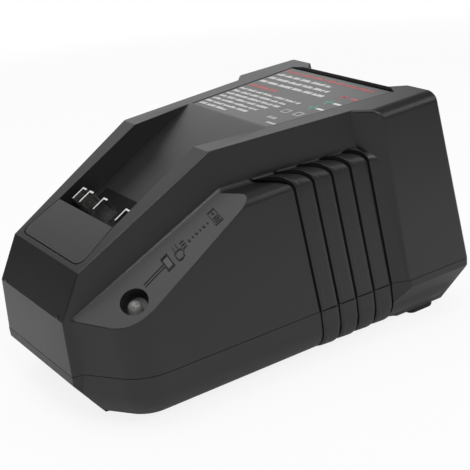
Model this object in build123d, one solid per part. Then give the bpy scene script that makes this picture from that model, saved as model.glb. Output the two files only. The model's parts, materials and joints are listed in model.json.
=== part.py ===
"""Slide-pack battery charger for a power tool, in millimetres, +Z up.

The charger stands on four feet.  Its nose points along -Y, the cord entry is at the back.
While the model is built, Y = 0 is the nose face; save() moves every piece so that the
origin is the centre of the footprint on the table.
"""
from build123d import *
import math
import os

# ------------------------------------------------------------------ overall sizes
length = 187.0              # nose face to rear face, at the parting line
height = 103.3              # table to the rear edge of the top
seam_height = 24.3          # table to the parting line of the two shells
foot_gap = 2.6              # table to the underside of the tray
wall = 2.5                  # moulded wall of both shells

# ------------------------------------------------------------------ spine: nose, slope and top
nose_width = 60.6           # across the nose face, at the parting line
nose_face_top = 47.1        # table to the top of the upright nose face
band_lean = 27.1            # degrees that the band above it leans back
slope_angle = 29.8          # degrees of the ramp that the pack slides on
break_y = 68.7              # nose face to the ridge between slope and top
top_rise = 2.34             # degrees that the top climbs towards the back
spine_spread = 6.4          # degrees that each spine wall opens towards the back
spine_draft = 3.3           # degrees that each spine wall leans in
spine_edge = 0.8            # radius of the spine's outer edges

# ------------------------------------------------------------------ wide body
body_width = 104.8          # across the ribbed sides, at the parting line
side_draft = 5.4            # degrees that the sides lean in
corner_start_y = 4.4        # where the front corner face leaves the spine wall
corner_angle = 35.0         # degrees of that face from the nose face
corner_radius = 20.0        # round between corner face and side
shelf_drop = 17.0           # slope surface to light shelf, measured upright at the spine wall
shelf_fall = 27.8           # degrees that the shelf falls outwards
shoulder_drop = 17.2        # top surface to shoulder
shoulder_fall = 4.0         # degrees that the shoulder falls outwards
shoulder_radius = 5.0       # round between shoulder and side
shelf_edge = 0.7            # radius of the shelf's outer edge
flank_angle = 25.0          # degrees that the side turns out behind the last groove
flank_reach = 6.0           # how far that face runs on inside the rear block

# ------------------------------------------------------------------ rear block with the ears
block_width = 112.2         # across the rear block, at the parting line
block_draft = 3.6           # degrees that its sides lean in
ear_y = 134.6               # where the flare leaves the spine wall at the top
flare_angle = 50.0          # degrees of the flare face from the long axis
flare_lean = 3.2            # degrees that the flare leans back
back_lean = 9.3             # degrees that the rear face leans forward
ear_radius = 2.0            # round of the rear edges
ear_edge = 5.0              # round between the ears' top and side
flare_edge = 1.2            # round of the flare's outer edges
recess_width = 57.0         # flat of the rear recess
recess_depth = 7.0          # how deep it lies behind the ears
recess_floor = 46.0         # table to the bottom of the rear recess

# ------------------------------------------------------------------ ribs and vents
rib_count = 5
rib_pitch = 9.75
rib_first_y = 104.4         # first groove, at the parting line
rib_lean = 5.6              # degrees that the grooves lean forward as they climb
rib_groove = 0.9            # width of a groove
rib_depth = 0.8             # depth of a groove
rib_turn = 52.0             # degrees that a groove turns forward on the shoulder
vent_width = 1.9            # opening of a vent
vent_inset = 3.2            # vent end to the spine wall
vent_length = 6.6

# ------------------------------------------------------------------ slot for the pack
slot_width = 47.0
slot_depth = 12.0           # slope surface to slot floor, measured upright
slot_front_y = 28.9         # nose face to the front end of the slot
funnel_start_y = 73.4       # where the run-in leaves the slot floor
funnel_end_y = 99.6         # where the run-in reaches the top
funnel_width = 58.0         # run-in, across its upper end

# ------------------------------------------------------------------ tray (lower shell)
tray_lean = 2.0             # degrees that the tray's sides lean in under the seam
tray_radius = 14.0          # round between the tray's side and underside
tray_skirt = 3.5            # upright strip of the rear block under the seam
tray_back_skirt = 4.3       # upright strip of its rear face
tray_block_lean = 31.5      # degrees that the rear block's sides lean in below it
tray_back_lean = 18.0       # degrees that its rear face leans in below it
nose_chamfer_height = 20.2  # table to the top of the nose's lower chamfer
nose_chamfer_run = 13.0     # how far back that chamfer reaches
nose_run = 40.0             # how far back the nose is seen under the body
nose_tray_lean = 11.0       # degrees that the nose walls lean in under the seam
seam_gap = 0.25             # fine gap of the parting line
fit_gap = 0.3               # clearance between moulded pieces

# ------------------------------------------------------------------ panel, label, light
panel_front_y = 11.5
panel_front_width = 53.0
panel_radius = 4.0
panel_thickness = 2.0
panel_gap = 0.45
label_front_gap = 2.0       # run-in to label
label_back_gap = 10.9       # label to the rear top edge
label_margin = 8.3          # label to the spine's side edge
label_thickness = 0.5
label_sink = 0.15           # how far its face lies under the surface
led_along = 24.5            # nose face to the centre of the light's recess
led_side = 10.2             # body side at the parting line to the same centre
led_recess_diameter = 11.4
led_recess_depth = 4.6
led_recess_floor = 8.2
led_diameter = 5.5
led_dome_drop = 2.4         # shelf to the middle of the light's dome, measured upright
led_height = 8.6            # light, under the middle of its dome
led_board_width = 10.5
led_board_length = 15.0
led_board_thickness = 1.6
led_board_side = 2.5        # light's centre to the board's outer edge
led_board_lead = 3.25       # light's centre to the board's front edge
led_screw_margin = 3.75     # board's inner and rear edges to its screw

# ------------------------------------------------------------------ contacts
blade_pitch = 6.1
blade_places = (-3, -2, 0, 3)
blade_thickness = 0.8
blade_length = 6.6          # along the slope
blade_front_gap = 3.6       # slot's front end to the blades
blade_sink = 1.5            # slope surface to the blades' upper edge
blade_tail = 7.0            # tab under the contact carrier
blade_wing = 2.6            # folded ear at the blade's upper end
blade_wing_height = 6.0
blade_tab = 3.0             # width of the tab
blade_root = 1.0            # how far the tab reaches into the blade
carrier_length = 17.0
carrier_side = 3.6          # slot wall to the carrier's window
carrier_lead = 2.4          # carrier's front edge to the blades
carrier_flange = 2.4        # rim of the carrier behind the slot floor
carrier_depth = 6.0         # block below the slot floor
cove_radius = 2.5           # hollow where spine and body meet

# ------------------------------------------------------------------ fasteners and feet
foot_size = 15.0
foot_breadth = 9.0
foot_seat = 1.2             # depth of a foot's socket
foot_sole = 1.4             # round of a foot's sole
front_foot_y = 51.0
front_foot_side = 18.9      # body side to the front feet
rear_foot_back = 18.5       # rear face to the rear feet
rear_foot_side = 15.6       # side of the rear block to the rear feet
foot_corner = 3.5           # round of a foot's outline
screw_diameter = 3.5
screw_head_diameter = 6.6
screw_head_height = 2.4
screw_length = 25.0
screw_recess = 12.0         # underside to the seat of a screw head
boss_diameter = 8.4         # screw column of the upper shell
screw_boss_diameter = 10.4  # screw column of the tray
front_screw_y = 21.0
front_screw_x = 15.5
rear_screw_inset = 18.0     # rear face to the rear screws
rear_screw_side = 29.1      # side of the rear block to the rear screws
board_screw_diameter = 3.0
board_screw_head = 5.6
board_screw_head_height = 2.0
board_screw_grip = 6.0      # depth of the hole in a board post
board_hole = 3.1
board_post = 7.0

# ------------------------------------------------------------------ circuit board and what it carries
board_width = 74.0
board_thickness = 1.6
board_front_y = 33.0
board_back_gap = 28.0       # rear face to the board
board_stand = 6.0           # tray floor to the board
board_margin = 4.0          # board edge to its screws
sheet_thickness = 0.4

gland_x = -20.0
gland_height = 14.6         # table to the cord entry's axis
gland_bore = 7.2
gland_diameter = 12.0
gland_flange = 15.0
gland_length = 9.0
gland_flange_thickness = 2.0
gland_end_gap = 0.5         # bush end to the rear face at the parting line

sheet_width = 56.0
fuse_x = 6.0
fuse_back = 8.0             # board's rear edge to the fuse, as for every "back" below
fuse_lift = 4.0             # board to the fuse's axis
fuse_length = 20.0
fuse_glass = 4.6
fuse_cap = 5.2
fuse_cap_length = 5.0
clip_width = 4.0
clip_run = 6.8
clip_rise = 1.4             # clip above the fuse's axis
terminal_back = 7.0
terminal_width = 12.0
terminal_run = 9.0
terminal_height = 11.0
terminal_edge = 0.6
terminal_pitch = 6.0
terminal_hole = 3.8
terminal_hole_depth = 4.0
terminal_mouth = 3.0
film_back = 22.0
film_width = 18.0
film_run = 8.5
film_height = 14.0
film_edge = 0.7
choke_x = 4.0
choke_back = 24.0
choke_height = 9.0
choke_outer = 18.0
choke_inner = 10.0
choke_coil = 1.0            # thickness of its winding
choke_round = 0.8
choke_split = 6.0           # gap between its two windings
bridge_back = 35.0
bridge_width = 20.0
bridge_thickness = 3.8
bridge_height = 16.0
bridge_edge = 0.4
bridge_lift = 3.0           # board to its body
bridge_hole = 3.4
bridge_hole_drop = 4.0      # its upper edge to the hole
bridge_lead_pitch = 5.0
lead_width = 1.2
lead_thickness = 0.8
lead_root = 0.5             # how far a lead reaches into a body
mains_can_x = 26.0
mains_can_back = 27.0
mains_can_diameter = 18.0
mains_can_height = 30.0
mains_can_edge = 1.2
can_groove_height = 4.0
can_groove_radius = 0.9
small_can_x = 29.5
small_can_back = 93.0
small_can_diameter = 10.0
small_can_height = 20.0
small_can_edge = 0.8
heatsink_x = 31.0           # fin side of both plates
heatsink_plate = 3.0
primary_back = 59.0
primary_run = 32.0
primary_height = 26.0
secondary_back = 71.0
secondary_run = 28.0
secondary_height = 22.0
fin_count = 6
fin_reach = 5.5
fin_thickness = 1.6
package_width = 10.0
package_depth = 3.2
package_height = 9.0
package_lift = 4.0
package_tab = 1.3
package_tab_height = 15.5
package_hole = 3.6
package_hole_drop = 3.0     # tab's upper edge to its hole
package_lead_pitch = 2.54
package_lead_width = 1.0
package_lead_thickness = 0.6
package_lead_back = 2.4     # tab's face to the leads
transformer_back = 61.0
core_depth = 11.0
core_leg = 4.5              # outer legs and yokes
core_middle = 10.0          # middle leg
core_window = 7.5
core_window_height = 19.0
bobbin_wall = 1.2
bobbin_clearance = 0.1
bobbin_run = 28.0
bobbin_flange = 1.4
bobbin_pins = 4
bobbin_pin = 1.0
bobbin_pin_pitch = 5.0
bobbin_pin_margin = 1.2
coil_margin = 0.6           # flange's side to the winding
coil_recess = 1.0           # flange's end to the winding
coil_round = 3.0
charge_chip_x = 8.0
switch_chip_x = -9.0
chip_back = 84.0
chip_stand = 0.15
chip_leg = 1.0              # how far a leg stands out
chip_leg_height = 0.5
chip_leg_share = 0.45       # leg width in a pitch
charge_chip_size = (10.0, 6.0, 1.7)
switch_chip_size = (5.0, 4.0, 1.5)
charge_chip_legs = 8        # on each side
switch_chip_legs = 4
header_lead = 26.1          # slot's front end to the connector
header_height = 9.0
header_run = 6.0
header_margin = 3.5         # outer wires to its ends
header_edge = 0.5
wire_diameter = 2.4
wire_bend = 8.0
thin_wire = 1.3
thin_wire_pitch = 2.2
thin_wire_bend = 3.0
thin_wire_drop = 12.0       # light board to the wires' first bend
thin_wire_rise = 8.0        # board to their last bend
thin_wire_front = 8.0       # board's front edge to the wires
thin_wire_side = 4.5        # board's side edge to the wires

REACH = 4 * length


def tan(angle):
    """Tangent of an angle in degrees."""
    return math.tan(math.radians(angle))


def facing(point, normal):
    """Plane through a point, with its normal pointing out of the charger."""
    return Plane(origin=point, z_dir=normal)


def inside(plane):
    """Everything behind a plane."""
    return plane * Box(REACH, REACH, REACH, align=(Align.CENTER, Align.CENTER, Align.MAX))


def convex(planes, fixed=(), inset=0.0):
    """Solid enclosed by planes; those in planes move in by inset, those in fixed stay."""
    solid = Box(REACH, REACH, REACH)
    for plane in planes:
        solid = solid & inside(plane.offset(-inset))
    for plane in fixed:
        solid = solid & inside(plane)
    return solid


def edges_on(solid, *planes):
    """Edges that lie on all the given planes."""
    def lies_on(edge, plane):
        return all(abs(plane.to_local_coords(edge @ t).Z) < 1e-3 for t in (0, 0.5, 1))
    return [edge for edge in solid.edges() if all(lies_on(edge, plane) for plane in planes)]


def both_sides(shape):
    """A shape and its mirror image across the charger's middle."""
    return shape + mirror(shape, about=Plane.YZ)


# ------------------------------------------------------------------ surfaces, as heights and as planes
back_top_y = length - (height - seam_height) * tan(back_lean)


def top_z(y):
    """Height of the top surface at a distance from the nose face."""
    return height - (back_top_y - y) * tan(top_rise)


def slope_z(y):
    """Height of the sloping surface at a distance from the nose face."""
    return top_z(break_y) - (break_y - y) * tan(slope_angle)


def spine_x(y, z):
    """Half width of the spine."""
    return nose_width / 2 + y * tan(spine_spread) - (z - seam_height) * tan(spine_draft)


shelf_x = spine_x(break_y / 2, seam_height)


def shelf_z(x, y):
    """Height of the light shelf."""
    return slope_z(y) - shelf_drop - (x - shelf_x) * tan(shelf_fall)


def turned(plane):
    """The same plane on the other side of the charger."""
    point, normal = plane.origin, plane.z_dir
    return facing((-point.X, point.Y, point.Z), (-normal.X, normal.Y, normal.Z))


def same(plane):
    """The plane itself, beside turned() in loops over both sides."""
    return plane


top_plane = facing((0, back_top_y, height), (0, -tan(top_rise), 1))
slope_plane = facing((0, break_y, top_z(break_y)), (0, -tan(slope_angle), 1))
band_plane = facing((0, 0, nose_face_top), (0, -1, tan(band_lean)))
nose_plane = facing((0, 0, 0), (0, -1, 0))
back_plane = facing((0, length, seam_height), (0, 1, tan(back_lean)))
seam_up = facing((0, 0, seam_height), (0, 0, -1))
spine_side = facing((nose_width / 2, 0, seam_height), (1, -tan(spine_spread), tan(spine_draft)))
core_plane = facing((slot_width / 2, 0, 0), (-1, 0, 0))
body_side = facing((body_width / 2, 0, seam_height), (1, 0, tan(side_draft)))
corner_x = spine_x(corner_start_y, seam_height)
corner_plane = facing((corner_x, corner_start_y, seam_height), (tan(corner_angle), -1, 0))
shelf_plane = facing((shelf_x, 0, shelf_z(shelf_x, 0)), (tan(shelf_fall), -tan(slope_angle), 1))
shoulder_y = rib_first_y
shoulder_x = spine_x(shoulder_y, top_z(shoulder_y) - shoulder_drop)
shoulder_plane = facing(
    (shoulder_x, shoulder_y, top_z(shoulder_y) - shoulder_drop), (tan(shoulder_fall), -tan(top_rise), 1))
panel_frame = Plane(
    origin=(0, panel_front_y, slope_z(panel_front_y)), x_dir=(1, 0, 0), z_dir=slope_plane.z_dir)
block_side = facing((block_width / 2, 0, seam_height), (1, 0, tan(block_draft)))
flare_plane = facing(
    (spine_x(ear_y, top_z(ear_y)), ear_y, top_z(ear_y)), (1, -tan(flare_angle), -tan(flare_lean)))

UPWARD = (Align.CENTER, Align.CENTER, Align.MIN)
DOWNWARD = (Align.CENTER, Align.CENTER, Align.MAX)
REARWARD = (Align.CENTER, Align.MIN, Align.MAX)

screw_hole = screw_diameter + 0.1
screw_meet = seam_height + 3.0
screw_seat = foot_gap + screw_recess
screw_top = screw_seat + screw_length
tray_floor = foot_gap + wall
board_z = tray_floor + board_stand
board_top = board_z + board_thickness
board_back_y = length - board_back_gap
floor_depth = slot_depth * math.cos(math.radians(slope_angle))
carrier_width = slot_width - 2 * carrier_side
carrier_start = blade_front_gap - carrier_lead
led_across = body_width / 2 - led_side
led_dome_z = shelf_z(led_across, led_along) - led_dome_drop
led_board_top = led_dome_z - led_height
rib_last_y = rib_first_y + (rib_count - 1) * rib_pitch + rib_groove / 2
flank_plane = facing(
    (body_width / 2, rib_last_y, seam_height),
    (1, -tan(flank_angle), tan(side_draft) - tan(flank_angle) * tan(rib_lean)))
flank_start = facing((0, rib_last_y, seam_height), (0, -1, -tan(rib_lean)))
flare_x = block_width / 2 - flare_plane.origin.X
flare_rise = (seam_height - flare_plane.origin.Z) * tan(flare_lean)
flare_foot_y = ear_y + (flare_x - flare_rise) / tan(flare_angle)
flank_end = facing((0, flare_foot_y + flank_reach, 0), (0, 1, 0))
inner_back = back_plane.offset(-2 * ear_radius)
front_foot_x = body_width / 2 - front_foot_side
rear_foot_x = block_width / 2 - rear_foot_side
rear_screw_x = block_width / 2 - rear_screw_side
header_y = slot_front_y + header_lead
core_width = core_middle + 2 * (core_window + core_leg)
core_height = core_window_height + 2 * core_leg
bobbin_width = core_middle + 2 * (core_window - bobbin_clearance)
fuse_cap_places = ((fuse_cap_length - fuse_length) / 2, (fuse_length - fuse_cap_length) / 2)


# ------------------------------------------------------------------ upper shell
def spine_form(inset=0.0, fixed=(seam_up,)):
    """Narrow upper body: nose, slope and top between two leaning walls."""
    faces = (top_plane, slope_plane, band_plane, nose_plane, inner_back)
    sides = (spine_side, turned(spine_side))
    solid = convex(faces + sides, fixed, inset)
    if inset == 0:
        rims = edges_on(solid, slope_plane, band_plane)
        for side in sides:
            for face in (slope_plane, band_plane, nose_plane):
                rims += edges_on(solid, side, face)
        solid = fillet(rims, spine_edge)
    return solid


def body_half(inset=0.0, fixed=(core_plane, seam_up)):
    """Right half of the wide body, with the light shelf and the shoulder."""
    faces = (shelf_plane, shoulder_plane, body_side, corner_plane, nose_plane, inner_back)
    solid = convex(faces, fixed, inset)
    corner, side, shoulder, shelf = [
        plane.offset(-inset) for plane in (corner_plane, body_side, shoulder_plane, shelf_plane)]
    solid = fillet(edges_on(solid, corner, side), corner_radius - inset)
    solid = fillet(edges_on(solid, shoulder, side), shoulder_radius - inset)
    if inset == 0:
        solid = fillet([edge for edge in edges_on(solid, shelf) if edge.center().X > shelf_x], shelf_edge)
    return solid


def flank_half(inset=0.0):
    """Right side behind the last groove, turned out towards the rear block."""
    solid = convex((flank_plane, shoulder_plane), (core_plane, seam_up, flank_start, flank_end), inset)
    rims = edges_on(solid, shoulder_plane.offset(-inset), flank_plane.offset(-inset))
    return fillet(rims, shoulder_radius - inset) & inside(block_side.offset(-inset))


def above_seam(edges):
    """Those edges that don't lie on the parting line."""
    return [edge for edge in edges if edge.center().Z > seam_height + 1]


def block_form(inset=0.0, fixed=(seam_up,)):
    """Rear block that carries the two ears."""
    sides = (block_side, turned(block_side))
    flares = (flare_plane, turned(flare_plane))
    solid = convex((top_plane, back_plane) + sides + flares, fixed, inset)
    crests = []
    for side in sides:
        crests += edges_on(solid, side.offset(-inset), top_plane.offset(-inset))
    solid = fillet(crests, ear_edge - inset)
    if inset == 0:
        solid = fillet(above_seam(edges_on(solid, back_plane)), ear_radius)
        for flare in flares:
            rims = [edge for edge in above_seam(edges_on(solid, flare)) if abs(edge.center().X) > 1]
            solid = fillet(rims, flare_edge)
    return solid


def outer_form():
    """Outside of the upper shell, before any opening is cut."""
    solid = spine_form() + both_sides(body_half())
    hollows = []
    for flip in (same, turned):
        for face in (corner_plane, shelf_plane, shoulder_plane):
            hollows += edges_on(solid, flip(face), flip(spine_side))
    return (fillet(hollows, cove_radius) + both_sides(flank_half()) + block_form()).solid()


def slot_form(outset=0.0):
    """Space of the pack's slot, with its run-in; outset widens it by a wall."""
    floor = facing((0, slot_front_y, slope_z(slot_front_y) - slot_depth), (0, tan(slope_angle), -1))
    side = facing((slot_width / 2, 0, 0), (1, 0, 0))
    front = facing((0, slot_front_y, 0), (0, -1, 0))
    end = facing((0, funnel_end_y, 0), (0, 1, 0))
    over = facing((0, 0, height + wall), (0, 0, 1))
    channel = convex((floor, side, turned(side), front), (end, over), -outset)
    run_start = Vector(slot_width / 2, funnel_start_y, slope_z(funnel_start_y) - slot_depth)
    run_end = Vector(funnel_width / 2, funnel_end_y, top_z(funnel_end_y))
    ridge = Vector(slot_width / 2, break_y, top_z(break_y))
    ramp = facing(run_start, (0, run_end.Z - run_start.Z, run_start.Y - run_end.Y))
    cheek_normal = (run_end - run_start).cross(ridge - run_start)
    cheek = facing(run_start, cheek_normal if cheek_normal.X > 0 else cheek_normal * -1)
    begin = facing((0, break_y, 0), (0, -1, 0))
    run_in = convex((ramp, cheek, turned(cheek)), (begin, over), -outset)
    return channel + run_in


def recess_form(outset=0.0):
    """Space of the rear recess between the ears; outset widens it by a wall."""
    inner = back_plane.offset(-recess_depth)
    corner_y = inner.origin.Y - (recess_floor - inner.origin.Z) * tan(back_lean)
    back_of_space = facing((0, length + wall, 0), (0, 1, 0))
    over = facing((0, 0, height + wall), (0, 0, 1))
    front = facing(inner.origin, inner.z_dir * -1)
    side = facing((recess_width / 2, corner_y, recess_floor), (1, -1, -tan(back_lean)))
    below = facing((0, corner_y, recess_floor), (0, -1, -1))
    return convex((front, side, turned(side), below), (back_of_space, over), -outset)


def panel_face(gap=0.0):
    """Outline of the panel in front of the slot, on the slope; gap widens it."""
    run = (slot_front_y - panel_front_y) / math.cos(math.radians(slope_angle))
    front_x = panel_front_width / 2 - panel_gap + gap
    back_x = slot_width / 2 - panel_gap + gap
    sketch = make_face(Polyline((-front_x, -gap), (front_x, -gap), (back_x, run), (-back_x, run), close=True))
    corners = [vertex for vertex in sketch.vertices() if vertex.Y < run / 2]
    return panel_frame * fillet(corners, panel_radius)


def panel_solid(gap=0.0, depth=panel_thickness):
    """Panel in front of the slot, or its pocket."""
    return extrude(panel_face(gap), amount=-depth)


def label_face(gap=0.0, sink=0.0):
    """Outline of the label on the top; gap widens it, sink lowers it."""
    front_y = funnel_end_y + label_front_gap
    back_y = back_top_y - label_back_gap
    front_x = spine_x(front_y, height) - label_margin
    back_x = spine_x(back_y, height) - label_margin
    start = -gap
    run = (back_y - front_y) / math.cos(math.radians(top_rise)) + gap
    frame = Plane(origin=(0, front_y, top_z(front_y)), x_dir=(1, 0, 0), z_dir=top_plane.z_dir)
    corners = (-front_x - gap, start), (front_x + gap, start), (back_x + gap, run), (-back_x - gap, run)
    return frame * Pos(0, 0, -sink) * make_face(Polyline(*corners, close=True))


def groove_cutter(index, core, kept):
    """Groove of one rib on the right side, and the vent at its upper end."""
    foot_y = rib_first_y + index * rib_pitch
    bend_z = top_z(foot_y) - shoulder_drop - shoulder_radius
    rise = bend_z - seam_height
    bend = (body_width / 2 - rise * tan(side_draft), foot_y - rise * tan(rib_lean), bend_z)
    deep = 4 * shoulder_radius
    on_side = Plane(origin=bend, x_dir=(1, 0, 0), z_dir=(0, 1, tan(rib_lean)))
    side_cut = on_side * Box(deep, REACH, rib_groove) & inside(facing(bend, (0, 0, 1)))
    on_top = Plane(origin=bend) * Rot(0, 0, rib_turn)
    top_cut = on_top * Pos(shoulder_radius, 0, 0) * Box(
        REACH / 4, rib_groove, deep, align=(Align.MAX, Align.CENTER, Align.MIN))
    vent = on_top * Pos(-vent_inset, 0, -wall) * Box(
        vent_length, vent_width, deep, align=(Align.MAX, Align.CENTER, Align.MIN))
    return side_cut + top_cut - core - kept + (vent - kept)


def led_frame():
    """Light recess: origin on the shelf, Z out of the shelf."""
    return Plane(origin=(led_across, led_along, shelf_z(led_across, led_along)), z_dir=shelf_plane.z_dir)


def screw_places():
    """Centres of the four housing screws."""
    places = []
    for sign in (-1, 1):
        places += [(sign * front_screw_x, front_screw_y), (sign * rear_screw_x, length - rear_screw_inset)]
    return places


def upper_columns():
    """Screw columns and the light board's post under the top."""
    room = (spine_form(wall / 2) + block_form(wall / 2) - recess_form(wall / 2)).solid()
    columns = []
    for x, y in screw_places():
        column = Cylinder(boss_diameter / 2, height - screw_meet, align=UPWARD)
        columns.append(Pos(x, y, screw_meet) * column & room)
    room = body_half(wall / 2)
    x, y = led_screw_place()
    post = Pos(x, y, led_board_top) * Cylinder(board_post / 2, height - led_board_top, align=UPWARD)
    columns.append(post & room)
    return columns


def upper_housing():
    """Top shell with slot, pocket, label recess, light recess, ribs, vents and screw columns."""
    cavity = spine_form(wall) + both_sides(body_half(wall) + flank_half(wall)) + block_form(wall)
    cavity = (cavity - slot_form(wall) - recess_form(wall)).solid()
    pad = panel_solid(2 * panel_gap + 1, panel_thickness + wall)
    led_pad = Cylinder(led_recess_diameter / 2 + wall, led_recess_depth + wall, align=DOWNWARD)
    cavity = (cavity - pad - led_frame() * led_pad).solid()
    shell = (outer_form() - cavity).solid()
    for column in upper_columns():
        shell = shell + column
    shell = shell - slot_form() - recess_form() - panel_solid(panel_gap) - carrier_window()
    shell = shell - extrude(label_face(fit_gap / 2), amount=-label_thickness - label_sink)
    cone = Cone(led_recess_floor / 2, led_recess_diameter / 2, led_recess_depth, align=DOWNWARD)
    led_hole = Cylinder(led_diameter / 2, led_dome_z - led_board_top, align=UPWARD)
    shell = shell - led_frame() * cone - Pos(led_across, led_along, led_board_top) * led_hole
    core = body_half(rib_depth)
    kept = spine_form() + block_form() + flank_half()
    for index in range(rib_count):
        cutter = groove_cutter(index, core, kept)
        shell = shell - cutter - mirror(cutter, about=Plane.YZ)
    for x, y in screw_places():
        hole = Cylinder(screw_hole / 2, screw_top + 1 - screw_meet, align=UPWARD)
        shell = shell - Pos(x, y, screw_meet) * hole
    x, y = led_screw_place()
    shell = shell - Pos(x, y, led_board_top) * Cylinder(board_hole / 2, board_screw_grip, align=UPWARD)
    return shell.solid()


def carrier_frame():
    """Slope surface at the slot's front end, Y up the slope, Z out."""
    return Plane(origin=(0, slot_front_y, slope_z(slot_front_y)), x_dir=(1, 0, 0), z_dir=slope_plane.z_dir)


def carrier_box(width, start, run, top, depth, x=0.0):
    """Box in that frame: start and run along the slope, top and depth below its surface."""
    return carrier_frame() * Pos(x, start, -top) * Box(width, run, depth, align=REARWARD)


def carrier_window():
    """Opening in the slot floor for the contact carrier."""
    return carrier_box(carrier_width, carrier_start, carrier_length, floor_depth - wall, 3 * wall)


def contact_blade(place):
    """Contact blade with a folded ear and a tab under the carrier."""
    x = place * blade_pitch
    foot = floor_depth + carrier_depth
    blade = carrier_box(blade_thickness, blade_front_gap, blade_length, blade_sink, foot - blade_sink, x)
    tab_start = blade_front_gap + (blade_length - blade_tab) / 2
    tab = carrier_box(blade_thickness, tab_start, blade_tab, foot - blade_root, blade_tail + blade_root, x)
    wing_start = blade_front_gap + blade_length - blade_thickness
    wing_x = x + (blade_wing + blade_thickness) / 2
    wing = carrier_box(blade_wing, wing_start, blade_thickness, blade_sink, blade_wing_height, wing_x)
    return (blade + tab + wing).solid()


def contact_carrier():
    """Insulating block that holds the blades in the slot floor."""
    block = carrier_box(carrier_width, carrier_start, carrier_length, floor_depth, carrier_depth)
    flange = carrier_box(carrier_width + 2 * carrier_flange, carrier_start - carrier_flange,
                         carrier_length + 2 * carrier_flange, floor_depth + wall, carrier_depth - wall - 1)
    carrier = block + flange
    for place in blade_places:
        carrier = carrier - contact_blade(place)
    return carrier.solid()


def status_led():
    """Light with a domed lens."""
    body = Cylinder(led_diameter / 2, led_height, align=UPWARD)
    dome = Pos(0, 0, led_height) * Sphere(led_diameter / 2)
    return Pos(led_across, led_along, led_board_top) * (body + dome)


def led_screw_place():
    """Centre of the light board's screw."""
    x = led_across + led_board_side - led_board_width + led_screw_margin
    return x, led_along - led_board_lead + led_board_length - led_screw_margin


def led_board():
    """Small board that carries the light, under its post."""
    x, y = led_screw_place()
    middle = led_across + led_board_side - led_board_width / 2
    board = Pos(middle, led_along - led_board_lead, led_board_top) * Box(
        led_board_width, led_board_length, led_board_thickness, align=REARWARD)
    hole = Pos(x, y, led_board_top) * Cylinder(board_hole / 2, 2 * led_board_thickness)
    return board - hole


# ------------------------------------------------------------------ tray
underside = facing((0, 0, foot_gap), (0, 0, -1))
nose_low_side = facing((nose_width / 2, 0, seam_height), (1, -tan(spine_spread), -tan(nose_tray_lean)))
nose_chamfer = facing((0, 0, nose_chamfer_height), (0, foot_gap - nose_chamfer_height, -nose_chamfer_run))
low_side = facing((body_width / 2, 0, seam_height), (1, 0, -tan(tray_lean)))
low_flank = facing(
    (body_width / 2, rib_last_y, seam_height),
    (1, -tan(flank_angle), -tan(tray_lean) - tan(flank_angle) * tan(rib_lean)))
low_corner = facing((corner_x, corner_start_y, seam_height), (tan(corner_angle), -1, -tan(tray_lean)))
skirt_z = seam_height - tray_skirt
skirt_side = facing((block_width / 2, 0, 0), (1, 0, 0))
skirt_back = facing((0, length, 0), (0, 1, 0))
block_low_side = facing((block_width / 2, 0, skirt_z), (1, 0, -tan(tray_block_lean)))
block_low_back = facing((0, length, seam_height - tray_back_skirt), (0, 1, -tan(tray_back_lean)))
flare_low = facing(
    (block_width / 2, flare_foot_y, seam_height), (1, -tan(flare_angle), -tan(tray_block_lean)))


def tray_form(inset=0.0):
    """Tray below the parting line, solid."""
    top = (facing((0, 0, seam_height - seam_gap), (0, 0, 1)),)
    front = (nose_plane, nose_chamfer, underside)
    nose_end = facing((0, nose_run, 0), (0, 1, 0))
    middle = facing((0, 0, 0), (-1, 0, 0))
    nose = convex(front + (nose_low_side, turned(nose_low_side)), top + (nose_end,), inset)
    low_end = facing((0, length - 2 * ear_radius, seam_height), (0, 1, -tan(tray_back_lean)))
    half = convex(front + (low_side, low_corner, low_end), top + (middle,), inset)
    corner, side, bottom, flank = [
        plane.offset(-inset) for plane in (low_corner, low_side, underside, low_flank)]
    half = fillet(edges_on(half, corner, side), corner_radius - inset)
    rims = [edge for edge in edges_on(half, bottom) if edge.center().X > nose_width / 2]
    half = fillet(rims, tray_radius - inset)
    wing = convex((low_flank, underside), top + (middle, flank_start, flank_end), inset)
    wing = fillet(edges_on(wing, flank, bottom), tray_radius - inset)
    wing = wing & inside(skirt_side.offset(-inset)) & inside(block_low_side.offset(-inset))
    sides = (skirt_side, block_low_side, turned(skirt_side), turned(block_low_side))
    block = convex(sides + (skirt_back, block_low_back, flare_low, turned(flare_low), underside), top, inset)
    for others, radius in (((skirt_back, block_low_back), ear_radius), ((flare_low,), flare_edge)):
        rounds = []
        for flip in (same, turned):
            for face in (skirt_side, block_low_side):
                for other in others:
                    rounds += edges_on(block, flip(face).offset(-inset), flip(other).offset(-inset))
        if radius > inset:
            block = fillet(rounds, radius - inset)
    return (nose + both_sides(half + wing) + block).solid(), half


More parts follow.
